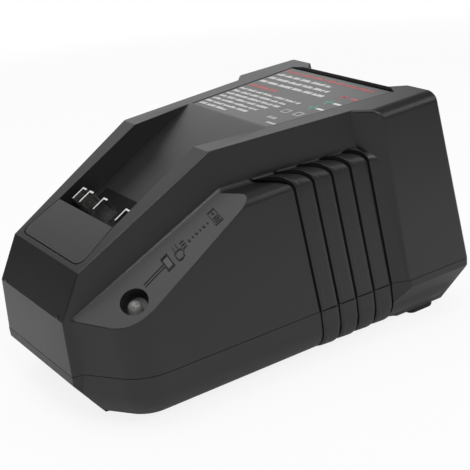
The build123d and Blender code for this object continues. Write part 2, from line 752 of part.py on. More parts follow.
def lower_housing():
    """Tray with screw columns, board posts, foot sockets, rib grooves and cord entry."""
    outside, half = tray_form()
    tray = outside - tray_form(wall)[0]
    core = tray_form(rib_depth)[1]
    for index in range(rib_count):
        plane = Plane(origin=(body_width / 2, rib_first_y + index * rib_pitch, seam_height),
                      x_dir=(1, 0, 0), z_dir=(0, 1, tan(rib_lean)))
        cutter = plane * Box(4 * shoulder_radius, 2 * seam_height, rib_groove) - core
        tray = tray - cutter - mirror(cutter, about=Plane.YZ)
    for x, y in screw_places():
        column = Cylinder(screw_boss_diameter / 2, screw_meet - foot_gap, align=UPWARD)
        tray = tray + Pos(x, y, foot_gap) * column
    for x, y in board_screw_places():
        tray = tray + Pos(x, y, foot_gap) * Cylinder(board_post / 2, board_z - foot_gap, align=UPWARD)
    for x, y in screw_places():
        tray = tray - Pos(x, y, 0) * Cylinder(screw_hole / 2, screw_top, align=UPWARD)
        tray = tray - Pos(x, y, 0) * Cylinder(screw_head_diameter / 2 + fit_gap, screw_seat, align=UPWARD)
    for x, y in board_screw_places():
        tray = tray - Pos(x, y, board_z) * Cylinder(board_hole / 2, board_screw_grip, align=DOWNWARD)
    for x, y in foot_places():
        tray = tray - Pos(0, 0, foot_gap) * extrude(foot_face(x, y), amount=foot_seat)
    tray = tray - gland_frame(length + wall) * Cylinder(gland_diameter / 2, 3 * gland_length)
    return tray.solid()


def board_screw_places():
    """Centres of the four board screws."""
    x = board_width / 2 - board_margin
    front, back = board_front_y + board_margin, board_back_y - board_margin
    return [(-x, front), (x, front), (-x, back), (x, back)]


def foot_places():
    """Centres of the four feet."""
    places = []
    for sign in (-1, 1):
        places += [(sign * front_foot_x, front_foot_y), (sign * rear_foot_x, length - rear_foot_back)]
    return places


def foot_face(x, y):
    """Outline of one foot."""
    return Pos(x, y) * RectangleRounded(foot_breadth, foot_size, foot_corner)


def foot(x, y):
    """Rubber foot with a rounded sole."""
    pad = extrude(foot_face(x, y), amount=foot_gap + foot_seat)
    return fillet(pad.faces().sort_by(Axis.Z)[0].edges(), foot_sole)


# ------------------------------------------------------------------ fasteners and cord entry
def gland_frame(y):
    """Frame on the cord entry's axis, Z pointing out of the charger."""
    return Plane(origin=(gland_x, y, gland_height), x_dir=(1, 0, 0), z_dir=(0, 1, 0))


def cord_gland():
    """Bush in the rear wall, open for a mains cord."""
    front = length - gland_end_gap
    barrel = Cylinder(gland_diameter / 2, gland_length, align=DOWNWARD)
    flange = Pos(0, 0, gland_flange_thickness - gland_length) * Cylinder(
        gland_flange / 2, gland_flange_thickness, align=DOWNWARD)
    return gland_frame(front) * (barrel + flange - Cylinder(gland_bore / 2, 3 * gland_length))


def screw(diameter, run, head_diameter, head_height):
    """Pan-head screw with a cross recess: shank up, head below the origin."""
    shank = Cylinder(diameter / 2, run, align=UPWARD)
    head = Cylinder(head_diameter / 2, head_height, align=DOWNWARD)
    head = fillet(head.faces().sort_by(Axis.Z)[0].edges(), head_height / 3)
    slot = Pos(0, 0, -head_height) * Box(head_diameter / 2, head_diameter / 7, head_height)
    return shank + head - slot - Rot(0, 0, 90) * slot


def housing_screws():
    """Four screws that close the two shells, from below."""
    one = screw(screw_diameter, screw_length, screw_head_diameter, screw_head_height)
    return [Pos(x, y, screw_seat) * one for x, y in screw_places()]


def board_screws():
    """Four screws of the circuit board and one of the light's board."""
    run = board_screw_grip - 1 + board_thickness
    one = screw(board_screw_diameter, run, board_screw_head, board_screw_head_height)
    x, y = led_screw_place()
    screws = [Pos(x, y, board_top) * Rot(180, 0, 0) * one for x, y in board_screw_places()]
    return screws + [Pos(x, y, led_board_top - led_board_thickness) * one]


# ------------------------------------------------------------------ circuit board and its parts
def on_board(x, back):
    """Place on the circuit board: x, and the distance from the board's rear edge."""
    return Pos(x, board_back_y - back, board_top)


def standing_box(width, run, tall, edge=0.0):
    """Box that stands on its base, with rounded edges above the base."""
    shape = Box(width, run, tall, align=UPWARD)
    if edge > 0:
        shape = fillet([rim for rim in shape.edges() if rim.center().Z > tall / 4], edge)
    return shape


def standing_can(diameter, tall, edge):
    """Round part that stands on its base."""
    shape = Cylinder(diameter / 2, tall, align=UPWARD)
    return fillet(shape.faces().sort_by(Axis.Z)[-1].edges(), edge)


def circuit_board():
    """Main circuit board with its screw holes."""
    run = board_back_y - board_front_y
    board = Pos(0, board_front_y, board_z) * Box(
        board_width, run, board_thickness, align=(Align.CENTER, Align.MIN, Align.MIN))
    for x, y in board_screw_places():
        board = board - Pos(x, y, board_z) * Cylinder(board_hole / 2, 3 * board_thickness)
    return board


def insulation_sheet():
    """Sheet between the tray floor and the solder side."""
    run = board_back_y - board_front_y
    return Pos(0, board_front_y, tray_floor) * Box(
        sheet_width, run, sheet_thickness, align=(Align.CENTER, Align.MIN, Align.MIN))


def mains_terminals():
    """Two-pole terminal block for the cord's wires."""
    block = standing_box(terminal_width, terminal_run, terminal_height, terminal_edge)
    for x in (-terminal_pitch / 2, terminal_pitch / 2):
        block = block - Pos(x, 0, terminal_height) * Cylinder(terminal_hole / 2, 2 * terminal_hole_depth)
        block = block - Pos(x, terminal_run / 2, terminal_mouth) * Box(
            terminal_mouth, terminal_run, terminal_mouth)
    return on_board(gland_x, terminal_back) * block


def fuse():
    """Glass fuse with its end caps."""
    glass = Rot(0, 90, 0) * Cylinder(fuse_glass / 2, fuse_length - fuse_cap_length)
    cap = Rot(0, 90, 0) * Cylinder(fuse_cap / 2, fuse_cap_length)
    caps = [Pos(x, 0, 0) * cap for x in fuse_cap_places]
    return on_board(fuse_x, fuse_back) * Pos(0, 0, fuse_lift) * (glass + caps)


def fuse_clips():
    """Two spring clips under the fuse's caps."""
    clip = Box(clip_width, clip_run, fuse_lift + clip_rise, align=UPWARD)
    return [on_board(fuse_x, fuse_back) * Pos(x, 0, 0) * clip - fuse() for x in fuse_cap_places]


def suppression_capacitor():
    """Boxed film capacitor across the mains."""
    return on_board(gland_x, film_back) * standing_box(film_width, film_run, film_height, film_edge)


def choke_ring(outer, inner, tall):
    """Flat ring, centred."""
    return Cylinder(outer / 2, tall) - Cylinder(inner / 2, tall)


def choke_place():
    """Middle of the line choke."""
    return on_board(choke_x, choke_back) * Pos(0, 0, choke_height / 2)


def line_choke_core():
    """Ferrite ring of the line choke, inside its windings."""
    return choke_place() * choke_ring(choke_outer, choke_inner, choke_height - 2 * choke_coil)


def line_choke_winding():
    """Two copper windings on the ring."""
    ring = choke_ring(choke_outer, choke_inner, choke_height - 2 * choke_coil)
    coil = choke_ring(choke_outer + 2 * choke_coil, choke_inner - 2 * choke_coil, choke_height)
    coil = fillet(coil.edges(), choke_round) - ring
    return choke_place() * (coil - Box(choke_split, 2 * choke_outer, 2 * choke_height))


def bridge_rectifier():
    """Bridge rectifier with four leads."""
    body = Pos(0, 0, bridge_lift) * standing_box(bridge_width, bridge_thickness, bridge_height, bridge_edge)
    hole_z = bridge_lift + bridge_height - bridge_hole_drop
    body = body - Pos(0, 0, hole_z) * Rot(90, 0, 0) * Cylinder(bridge_hole / 2, 2 * bridge_thickness)
    lead = Box(lead_width, lead_thickness, bridge_lift + lead_root, align=UPWARD)
    leads = [Pos(place * bridge_lead_pitch, 0, 0) * lead for place in (-1.5, -0.5, 0.5, 1.5)]
    return on_board(gland_x, bridge_back) * (body + leads)


def mains_capacitor():
    """Large electrolytic capacitor with a rolled groove."""
    can = standing_can(mains_can_diameter, mains_can_height, mains_can_edge)
    groove = Torus(mains_can_diameter / 2 + can_groove_radius / 3, can_groove_radius)
    return on_board(mains_can_x, mains_can_back) * (can - Pos(0, 0, can_groove_height) * groove)


def finned_plate(run, tall):
    """Heatsink: plate on its long edge with fins towards +X."""
    plate = Box(heatsink_plate, run, tall, align=(Align.MAX, Align.CENTER, Align.MIN))
    fin = Box(fin_reach, fin_thickness, tall, align=(Align.MIN, Align.CENTER, Align.MIN))
    for index in range(fin_count):
        plate = plate + Pos(0, (index - (fin_count - 1) / 2) * run / fin_count, 0) * fin
    return plate


def power_package():
    """Upright package: its metal tab faces +X, with three leads."""
    sideways = (Align.MAX, Align.CENTER, Align.MIN)
    body = Box(package_depth, package_width, package_height, align=sideways)
    body = Pos(-package_tab, 0, package_lift) * body
    tab = Pos(0, 0, package_lift) * Box(package_tab, package_width, package_tab_height, align=sideways)
    hole_z = package_lift + package_tab_height - package_hole_drop
    tab = tab - Pos(0, 0, hole_z) * Rot(0, 90, 0) * Cylinder(package_hole / 2, 4 * package_tab)
    lead = Box(package_lead_thickness, package_lead_width, package_lift + 2 * lead_root, align=UPWARD)
    leads = [Pos(-package_lead_back, place * package_lead_pitch, 0) * lead for place in (-1, 0, 1)]
    return body + tab + leads


def primary_heatsink():
    """Heatsink of the switching transistor."""
    return on_board(heatsink_x, primary_back) * finned_plate(primary_run, primary_height)


def switching_transistor():
    """Switching transistor, flat on its heatsink."""
    return on_board(heatsink_x - heatsink_plate, primary_back) * power_package()


def secondary_heatsink():
    """Heatsink of the output rectifier."""
    plate = finned_plate(secondary_run, secondary_height)
    return on_board(-heatsink_x, secondary_back) * Rot(0, 0, 180) * plate


def output_rectifier():
    """Output rectifier, flat on its heatsink."""
    return on_board(heatsink_plate - heatsink_x, secondary_back) * Rot(0, 0, 180) * power_package()


def transformer_core():
    """Ferrite core with a middle leg."""
    core = Box(core_width, core_depth, core_height, align=UPWARD)
    window = Box(core_window, 2 * core_depth, core_window_height, align=UPWARD)
    for x in (-(core_middle + core_window) / 2, (core_middle + core_window) / 2):
        core = core - Pos(x, 0, core_leg) * window
    return on_board(0, transformer_back) * core


def transformer_bobbin():
    """Bobbin round the core's middle leg, with its pins."""
    tube = Box(core_middle + 2 * bobbin_wall, core_depth + 2 * bobbin_wall, core_window_height, align=UPWARD)
    flange = Box(bobbin_width, bobbin_run, bobbin_flange, align=UPWARD)
    top_flange = Pos(0, 0, core_window_height - bobbin_flange) * flange
    bobbin = Pos(0, 0, core_leg) * (tube + flange + top_flange)
    bobbin = bobbin - Box(core_middle, core_depth, 3 * core_height)
    pin = Cylinder(bobbin_pin / 2, core_leg + lead_root, align=UPWARD)
    reach = bobbin_run / 2 - bobbin_pin_margin
    for index in range(bobbin_pins):
        for y in (-reach, reach):
            bobbin = bobbin + Pos((index - (bobbin_pins - 1) / 2) * bobbin_pin_pitch, y, 0) * pin
    return on_board(0, transformer_back) * bobbin


def transformer_winding():
    """Taped winding between the bobbin's flanges."""
    width, run = bobbin_width - 2 * coil_margin, bobbin_run - 2 * coil_recess
    coil = Box(width, run, core_window_height - 2 * bobbin_flange, align=UPWARD)
    coil = fillet(coil.edges().filter_by(Axis.Z), coil_round)
    coil = coil - Box(core_middle + 2 * bobbin_wall, core_depth + 2 * bobbin_wall, 3 * core_height)
    return on_board(0, transformer_back) * Pos(0, 0, core_leg + bobbin_flange) * coil


def output_capacitor(x):
    """Small electrolytic capacitor at the output."""
    return on_board(x, small_can_back) * standing_can(small_can_diameter, small_can_height, small_can_edge)


def chip(size, pins):
    """Surface-mounted chip with legs along both long sides."""
    width, run, tall = size
    body = Pos(0, 0, chip_stand) * Box(width, run, tall, align=UPWARD)
    pitch = width / pins
    leg = Box(chip_leg_share * pitch, run + 2 * chip_leg, chip_leg_height, align=UPWARD)
    for index in range(pins):
        body = body + Pos((index - (pins - 1) / 2) * pitch, 0, 0) * leg
    return body


def control_chips():
    """Charge controller and switching controller, on the solder side."""
    under = Pos(0, board_back_y - chip_back, board_z) * Rot(180, 0, 0)
    charge = Pos(charge_chip_x, 0, 0) * under * chip(charge_chip_size, charge_chip_legs)
    return [charge, Pos(switch_chip_x, 0, 0) * under * chip(switch_chip_size, switch_chip_legs)]


def output_header():
    """Connector of the contact wires."""
    span = (blade_places[-1] - blade_places[0]) * blade_pitch + 2 * header_margin
    return Pos(0, header_y, board_top) * standing_box(span, header_run, header_height, header_edge)


def wire(points, diameter, bend):
    """Round wire along points, bent at the inner ones."""
    path = FilletPolyline(*points, radius=bend)
    return sweep(Plane(origin=path @ 0, z_dir=path % 0) * Circle(diameter / 2), path=path)


def contact_wires():
    """Four wires from the blades' tabs to the connector."""
    depth = floor_depth + carrier_depth + blade_tail
    along = blade_front_gap + blade_length / 2
    wires = []
    for place in blade_places:
        start = carrier_frame().from_local_coords(Vector(place * blade_pitch, along, -depth))
        fall = (header_y - start.Y) / tan(slope_angle)
        turn = Vector(start.X, header_y, start.Z - fall)
        end = Vector(start.X, header_y, board_top + header_height)
        wires.append(wire((start, turn, end), wire_diameter, wire_bend))
    return wires


def led_wires():
    """Two thin wires from the light's board to the main board."""
    wires = []
    under = led_board_top - led_board_thickness
    y = board_front_y + thin_wire_front
    for shift in (0, thin_wire_pitch):
        x, low_x = led_across - shift, board_width / 2 - thin_wire_side - shift
        points = ((x, led_along, under), (x, led_along, under - thin_wire_drop),
                  (low_x, y, board_top + thin_wire_rise), (low_x, y, board_top))
        wires.append(wire(points, thin_wire, thin_wire_bend))
    return wires


# ------------------------------------------------------------------ files
def save(name, shape):
    """Write one piece, with the origin at the centre of the footprint."""
    pieces = shape if isinstance(shape, list) else [shape]
    moved = [Pos(0, -length / 2, 0) * piece for piece in pieces]
    export_step(moved[0] if len(moved) == 1 else Compound(children=moved), "parts/" + name + ".step")


os.makedirs("parts", exist_ok=True)
save("upper_housing", upper_housing())
save("lower_housing", lower_housing())
save("nose_panel", panel_solid())
save("label_plate", extrude(label_face(sink=label_sink), amount=-label_thickness))
save("contact_carrier", contact_carrier())
for number, place in enumerate(blade_places, start=1):
    save("contact_blade_" + str(number), contact_blade(place))
save("status_led", status_led())
save("led_board", led_board())
save("led_wires", led_wires())
for name, (x, y) in zip(("left_front", "left_rear", "right_front", "right_rear"), foot_places()):
    save("foot_" + name, foot(x, y))
save("cord_gland", cord_gland())
save("housing_screws", housing_screws())
save("board_screws", board_screws())
save("circuit_board", circuit_board())
save("insulation_sheet", insulation_sheet())
save("mains_terminals", mains_terminals())
save("fuse", fuse())
save("fuse_clips", fuse_clips())
save("suppression_capacitor", suppression_capacitor())
save("line_choke_core", line_choke_core())
save("line_choke_winding", line_choke_winding())
save("bridge_rectifier", bridge_rectifier())
save("mains_capacitor", mains_capacitor())
save("primary_heatsink", primary_heatsink())
save("switching_transistor", switching_transistor())
save("secondary_heatsink", secondary_heatsink())
save("output_rectifier", output_rectifier())
save("transformer_core", transformer_core())
save("transformer_bobbin", transformer_bobbin())
save("transformer_winding", transformer_winding())
save("output_capacitor_1", output_capacitor(-small_can_x))
save("output_capacitor_2", output_capacitor(small_can_x))
save("control_chips", control_chips())
save("output_header", output_header())
save("contact_wires", contact_wires())
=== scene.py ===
"""Looks of a slide-pack battery charger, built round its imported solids.

All lengths in the classes below are millimetres, with Y counted from the nose face;
Form.place() turns them into the model's metres.
"""
from __future__ import annotations

import json
import logging
import math
from dataclasses import dataclass, field
from enum import Enum

import bmesh
import bpy
import numpy as np
from mathutils import Matrix, Vector

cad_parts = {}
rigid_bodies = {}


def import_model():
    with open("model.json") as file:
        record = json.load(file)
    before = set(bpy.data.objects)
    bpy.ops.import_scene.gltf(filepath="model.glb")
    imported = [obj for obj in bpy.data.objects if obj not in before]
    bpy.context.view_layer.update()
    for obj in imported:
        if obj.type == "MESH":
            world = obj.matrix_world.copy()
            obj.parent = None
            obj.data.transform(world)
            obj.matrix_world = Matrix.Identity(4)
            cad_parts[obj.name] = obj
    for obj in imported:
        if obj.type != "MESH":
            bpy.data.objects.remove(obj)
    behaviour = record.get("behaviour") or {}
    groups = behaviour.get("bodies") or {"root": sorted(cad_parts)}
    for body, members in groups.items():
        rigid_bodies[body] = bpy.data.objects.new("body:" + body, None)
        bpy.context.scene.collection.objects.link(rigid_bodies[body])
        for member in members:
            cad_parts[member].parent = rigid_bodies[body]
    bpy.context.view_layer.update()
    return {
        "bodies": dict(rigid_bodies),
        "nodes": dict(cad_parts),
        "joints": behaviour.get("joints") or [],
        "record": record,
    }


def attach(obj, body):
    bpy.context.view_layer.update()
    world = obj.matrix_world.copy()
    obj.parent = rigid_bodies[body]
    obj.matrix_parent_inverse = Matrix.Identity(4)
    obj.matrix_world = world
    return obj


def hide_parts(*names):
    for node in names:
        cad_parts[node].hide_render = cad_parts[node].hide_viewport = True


LOG = logging.getLogger("charger")
BODY = "root"
MM = 0.001
WAVE_TURNS = 0.314  # a Wave texture's scale times its pitch in metres, for one band a pitch

Colour = tuple[float, float, float]
Spot = tuple[float, float]
Shell = tuple[np.ndarray, list]


def tan(angle: float) -> float:
    """Tangent of an angle in degrees."""
    return math.tan(math.radians(angle))


# ---------------------------------------------------------------- shader maths
@dataclass(frozen=True)
class Value:
    """A number socket that takes part in plain arithmetic."""

    sheet: "Sheet"
    socket: bpy.types.NodeSocket

    def _math(self, operation: str, first: object, second: object, clamp: bool = False) -> "Value":
        """Adds one Math node.

        Args:
            operation: the node's operation.
            first: first number, socket or Value.
            second: second number, socket or Value.
            clamp: keeps the result between 0 and 1.

        Returns:
            The result.
        """
        node = self.sheet.node("ShaderNodeMath", {"operation": operation, "use_clamp": clamp},
                               {0: first, 1: second})
        return Value(self.sheet, node.outputs[0])

    def __add__(self, other: object) -> "Value":
        """self + other"""
        return self._math("ADD", self, other)

    def __radd__(self, other: object) -> "Value":
        """other + self"""
        return self._math("ADD", other, self)

    def __sub__(self, other: object) -> "Value":
        """self - other"""
        return self._math("SUBTRACT", self, other)

    def __rsub__(self, other: object) -> "Value":
        """other - self"""
        return self._math("SUBTRACT", other, self)

    def __mul__(self, other: object) -> "Value":
        """self * other"""
        return self._math("MULTIPLY", self, other)

    def __rmul__(self, other: object) -> "Value":
        """other * self"""
        return self._math("MULTIPLY", other, self)

    def largest(self, other: object) -> "Value":
        """The larger of two values."""
        return self._math("MAXIMUM", self, other)

    def clamped(self) -> "Value":
        """self kept between 0 and 1"""
        return self._math("ADD", self, 0.0, clamp=True)


class Sheet:
    """Node tree of one material or of the world."""

    def __init__(self, tree: bpy.types.NodeTree) -> None:
        """Empties the tree.

        Args:
            tree: node tree to fill.
        """
        self.tree = tree
        self.tree.nodes.clear()

    def node(self, kind: str, settings: dict | None = None, sockets: dict | None = None) -> bpy.types.Node:
        """Adds a node.

        Args:
            kind: node type.
            settings: properties that are set first.
            sockets: input name or number to a number, colour, vector, socket or Value.

        Returns:
            The new node.
        """
        made = self.tree.nodes.new(kind)
        for key, value in (settings or {}).items():
            setattr(made, key, value)
        for key, value in (sockets or {}).items():
            target = made.inputs[key]
            if isinstance(value, Value):
                self.tree.links.new(value.socket, target)
            elif isinstance(value, bpy.types.NodeSocket):
                self.tree.links.new(value, target)
            else:
                target.default_value = value
        return made

    def value(self, node: bpy.types.Node, output: str | int = 0) -> Value:
        """Number output of a node, ready for arithmetic."""
        return Value(self, node.outputs[output])

    def position(self) -> bpy.types.NodeSocket:
        """Object coordinates, in metres."""
        return self.node("ShaderNodeTexCoord").outputs["Object"]

    def noise(self, scale: float, detail: float = 2.0, roughness: float = 0.5) -> Value:
        """Noise over the piece, about 0.5 in the mean.

        Args:
            scale: waves per metre.
            detail: octaves.
            roughness: weight of the finer octaves.

        Returns:
            The noise value.
        """
        made = self.node("ShaderNodeTexNoise", {}, {
            "Vector": self.position(), "Scale": scale, "Detail": detail, "Roughness": roughness})
        return self.value(made, "Fac")

    def ramp(self, source: Value, stops: list[tuple[float, Colour]]) -> bpy.types.NodeSocket:
        """Colour ramp.

        Args:
            source: value from 0 to 1.
            stops: places and colours.

        Returns:
            The colour socket.
        """
        made = self.node("ShaderNodeValToRGB", {}, {"Fac": source})
        elements = made.color_ramp.elements
        while len(elements) < len(stops):
            elements.new(0.5)
        for element, (place, colour) in zip(elements, stops):
            element.position = place
            element.color = (*colour, 1.0)
        return made.outputs["Color"]

    def blend(self, factor: Value, first: object, second: object) -> bpy.types.NodeSocket:
        """Mix of two colours.

        Args:
            factor: 0 gives the first colour, 1 the second.
            first: colour or socket.
            second: colour or socket.

        Returns:
            The colour socket.
        """
        made = self.node("ShaderNodeMix", {"data_type": "RGBA"}, {"Factor": factor, 6: first, 7: second})
        return made.outputs[2]

    def bump(self, height: Value, distance: float, strength: float = 1.0) -> bpy.types.NodeSocket:
        """Bump from a height of 0 to 1.

        Args:
            height: the height.
            distance: its size in metres.
            strength: share of it that is used.

        Returns:
            The normal socket.
        """
        made = self.node("ShaderNodeBump", {}, {"Height": height, "Distance": distance, "Strength": strength})
        return made.outputs["Normal"]


def rgba(colour: Colour) -> tuple[float, float, float, float]:
    """Colour with full alpha."""
    return (*colour, 1.0)


def shade(colour: Colour, factor: float) -> Colour:
    """Colour times a factor."""
    return tuple(part * factor for part in colour)


# ---------------------------------------------------------------- finishes
@dataclass(frozen=True)
class Coat:
    """Any finish: one Principled shader, whose sockets each kind of finish fills."""

    name: str
    colour: Colour

    def sockets(self, sheet: Sheet) -> dict:
        """Values and links of the shader's sockets."""
        raise NotImplementedError

    def build(self) -> bpy.types.Material:
        """Makes the material."""
        material = bpy.data.materials.new(self.name)
        material.use_nodes = True
        sheet = Sheet(material.node_tree)
        surface = sheet.node("ShaderNodeBsdfPrincipled", {}, self.sockets(sheet))
        sheet.node("ShaderNodeOutputMaterial", {}, {"Surface": surface.outputs[0]})
        return material


@dataclass(frozen=True)
class Moulded(Coat):
    """Moulded plastic with a fine spark-eroded grain.

    The grain's height is 0.6 fine + 0.4 coarse noise; colour and gloss drift with a slow noise.
    """

    roughness: float = 0.4
    drift: float = 0.12
    grain: float = 0.00003
    grain_scale: float = 2200.0
    drift_scale: float = 22.0
    ior: float = 1.5
    specular: float = 0.5

    def sockets(self, sheet: Sheet) -> dict:
        """Values and links of the shader's sockets."""
        cloud = sheet.noise(self.drift_scale, 3.0)
        grain = sheet.noise(self.grain_scale, 3.0, 0.6)
        coarse = sheet.noise(self.grain_scale / 3, 2.0)
        tint = sheet.ramp(cloud * 0.8 + grain * 0.2, [
            (0.3, shade(self.colour, 1 - self.drift)), (0.7, shade(self.colour, 1 + self.drift))])
        gloss = (cloud - 0.5) * 0.12 + (grain - 0.5) * 0.1 + self.roughness
        return {
            "Base Color": tint, "Roughness": gloss.clamped(), "IOR": self.ior,
            "Specular IOR Level": self.specular,
            "Normal": sheet.bump(grain * 0.6 + coarse * 0.4, self.grain)}


@dataclass(frozen=True)
class Plated(Coat):
    """Metal strip, sheet or wire with faint drawing lines along one axis."""

    roughness: float = 0.28
    metallic: float = 1.0
    stretch: tuple[float, float, float] = (1.0, 1.0, 14.0)

    def sockets(self, sheet: Sheet) -> dict:
        """Values and links of the shader's sockets."""
        mapped = sheet.node("ShaderNodeMapping", {}, {"Vector": sheet.position(), "Scale": self.stretch})
        lines = sheet.value(sheet.node("ShaderNodeTexNoise", {}, {
            "Vector": mapped.outputs[0], "Scale": 900.0, "Detail": 3.0}), "Fac")
        cloud = sheet.noise(160.0, 2.0)
        tint = sheet.ramp(cloud, [(0.25, shade(self.colour, 0.82)), (0.75, self.colour)])
        gloss = (lines - 0.5) * 0.25 + (cloud - 0.5) * 0.1 + self.roughness
        return {
            "Base Color": tint, "Roughness": gloss.clamped(), "Metallic": self.metallic,
            "Normal": sheet.bump(lines, 0.00002)}


@dataclass(frozen=True)
class Clear(Coat):
    """Clear or milky plastic or glass."""

    roughness: float = 0.12
    transmission: float = 0.6
    ior: float = 1.5

    def sockets(self, sheet: Sheet) -> dict:
        """Values and links of the shader's sockets."""
        cloud = sheet.noise(500.0, 2.0)
        tint = sheet.ramp(cloud, [(0.2, shade(self.colour, 0.8)), (0.8, self.colour)])
        return {
            "Base Color": tint, "Roughness": (cloud - 0.5) * 0.1 + self.roughness,
            "Transmission Weight": self.transmission, "IOR": self.ior,
            "Normal": sheet.bump(cloud, 0.00002)}


@dataclass(frozen=True)
class Laminate(Coat):
    """Circuit board: solder mask with faint tracks and a weave under it."""

    def sockets(self, sheet: Sheet) -> dict:
        """Values and links of the shader's sockets."""
        tracks = sheet.value(sheet.node("ShaderNodeTexBrick", {"offset": 0.5}, {
            "Vector": sheet.position(), "Scale": 90.0, "Mortar Size": 0.06, "Mortar Smooth": 0.2}), "Fac")
        weave = sheet.noise(1500.0, 1.0)
        tint = sheet.blend(tracks, rgba(self.colour), rgba(shade(self.colour, 1.7)))
        return {
            "Base Color": tint, "Roughness": (weave - 0.5) * 0.2 + 0.32,
            "Normal": sheet.bump(weave * 0.5 + tracks * 0.5, 0.00003)}


@dataclass(frozen=True)
class Wound(Coat):
    """Wire or tape wound in turns: stripes round one axis."""

    pitch: float
    direction: str = "Z"

    def sockets(self, sheet: Sheet) -> dict:
        """Values and links of the shader's sockets."""
        turns = sheet.value(sheet.node("ShaderNodeTexWave", {"bands_direction": self.direction}, {
            "Vector": sheet.position(), "Scale": WAVE_TURNS / self.pitch, "Distortion": 0.4}), "Fac")
        tint = sheet.ramp(turns, [(0.1, shade(self.colour, 0.55)), (0.7, self.colour)])
        return {
            "Base Color": tint, "Roughness": turns * 0.1 + 0.3,
            "Normal": sheet.bump(turns, 0.0002)}


class Finish(Enum):
    """Finishes of the charger's pieces."""

    SHELL = Moulded("shell plastic", (0.0095, 0.0096, 0.01), roughness=0.4)
    TRAY = Moulded("tray plastic", (0.0095, 0.0096, 0.01), roughness=0.44)
    PANEL = Moulded("panel plastic", (0.021, 0.0211, 0.0215), roughness=0.36, grain=0.00001)
    LABEL = Moulded("label film", (0.014, 0.0141, 0.0145), roughness=0.33, grain=0.000006)
    CARRIER = Moulded("carrier plastic", (0.004, 0.004, 0.0042), roughness=0.6, grain=0.000005, specular=0.15)
    # painted shade: near-black, barely glossy ribbons over the grooves and vent mouths, where the openings
    # lie in shade
    VENT_SHADE = Moulded("vent shadow", (0.0012, 0.0012, 0.0013), roughness=0.75, grain=0.000005, specular=0.08)
    # painted shade: near-black, almost without gloss, for the shadow in the label's side gaps and behind its
    # back edge
    EDGE_SHADE = Moulded("rim shadow", (0.0016, 0.0016, 0.0017), roughness=0.6, grain=0.000005, specular=0.03)
    MARKS = Moulded("raised marks", (0.004, 0.004, 0.0042), roughness=0.3, grain=0.00001, specular=0.25)
    PRINT_WHITE = Moulded("white print", (0.62, 0.62, 0.61), roughness=0.4, drift=0.08)
    PRINT_RED = Moulded("red print", (0.42, 0.03, 0.035), roughness=0.4, drift=0.08)
    PRINT_GREEN = Moulded("green print", (0.05, 0.32, 0.22), roughness=0.4, drift=0.08)
    FOOT = Moulded("foot rubber", (0.022, 0.022, 0.022), roughness=0.72, grain=0.00006, specular=0.3)
    GLAND = Moulded("gland rubber", (0.02, 0.02, 0.02), roughness=0.62, grain=0.00005, specular=0.35)
    LENS = Clear("light lens", (0.34, 0.34, 0.33), roughness=0.1, transmission=0.5)
    BLADE = Plated("tinned strip", (0.86, 0.86, 0.84), roughness=0.24)
    SCREW = Plated("zinc plated steel", (0.62, 0.62, 0.62), roughness=0.36)
    BOARD = Laminate("board laminate", (0.02, 0.12, 0.05))
    WIRE = Moulded("wire jacket", (0.42, 0.04, 0.035), roughness=0.42)
    FILM = Clear("insulation film", (0.72, 0.7, 0.6), roughness=0.3, transmission=0.3)
    NYLON = Moulded("natural nylon", (0.66, 0.64, 0.57), roughness=0.45)
    GLASS = Clear("fuse glass", (0.86, 0.9, 0.9), roughness=0.05, transmission=0.9)
    CASE = Moulded("capacitor case", (0.6, 0.42, 0.06), roughness=0.3)
    FERRITE = Moulded("ferrite", (0.045, 0.045, 0.05), roughness=0.7, grain=0.00008, grain_scale=1200.0)
    COPPER = Wound("enamelled wire", (0.55, 0.2, 0.07), 0.0008)
    TAPE = Wound("winding tape", (0.66, 0.48, 0.08), 0.006)
    EPOXY = Moulded("moulded epoxy", (0.02, 0.02, 0.021), roughness=0.55)
    SLEEVE = Moulded("capacitor sleeve", (0.03, 0.036, 0.07), roughness=0.28)
    FIN = Plated("extruded aluminium", (0.78, 0.79, 0.8), roughness=0.35)


NODES: dict[Finish, tuple[str, ...]] = {
    Finish.PANEL: ("nose_panel",),
    Finish.LABEL: ("label_plate",),
    Finish.CARRIER: ("contact_carrier",),
    Finish.LENS: ("status_led",),
    Finish.BOARD: ("led_board", "circuit_board"),
    Finish.WIRE: ("led_wires", "contact_wires"),
    Finish.GLAND: ("cord_gland",),
    Finish.SCREW: ("housing_screws", "board_screws"),
    Finish.FILM: ("insulation_sheet",),
    Finish.NYLON: ("mains_terminals", "transformer_bobbin", "output_header"),
    Finish.GLASS: ("fuse",),
    Finish.BLADE: (
        "fuse_clips", "contact_blade_1", "contact_blade_2", "contact_blade_3", "contact_blade_4"),
    Finish.CASE: ("suppression_capacitor",),
    Finish.FERRITE: ("line_choke_core", "transformer_core"),
    Finish.COPPER: ("line_choke_winding",),
    Finish.EPOXY: ("bridge_rectifier", "switching_transistor", "output_rectifier", "control_chips"),
    Finish.SLEEVE: ("mains_capacitor", "output_capacitor_1", "output_capacitor_2"),
    Finish.FIN: ("primary_heatsink", "secondary_heatsink"),
    Finish.TAPE: ("transformer_winding",),
    Finish.FOOT: ("foot_left_front", "foot_left_rear", "foot_right_front", "foot_right_rear"),
}


@dataclass
class Palette:
    """Materials, each made once."""

    made: dict[Finish, bpy.types.Material] = field(default_factory=dict)

    def get(self, finish: Finish) -> bpy.types.Material:
        """Material of a finish.

        Args:
            finish: the finish.

        Returns:
            Its material, made at the first call.
        """
        if finish not in self.made:
            self.made[finish] = finish.value.build()
        return self.made[finish]

    def dress(self, piece: bpy.types.Object, finish: Finish) -> None:
        """Gives a piece its only material."""
        piece.data.materials.clear()
        piece.data.materials.append(self.get(finish))


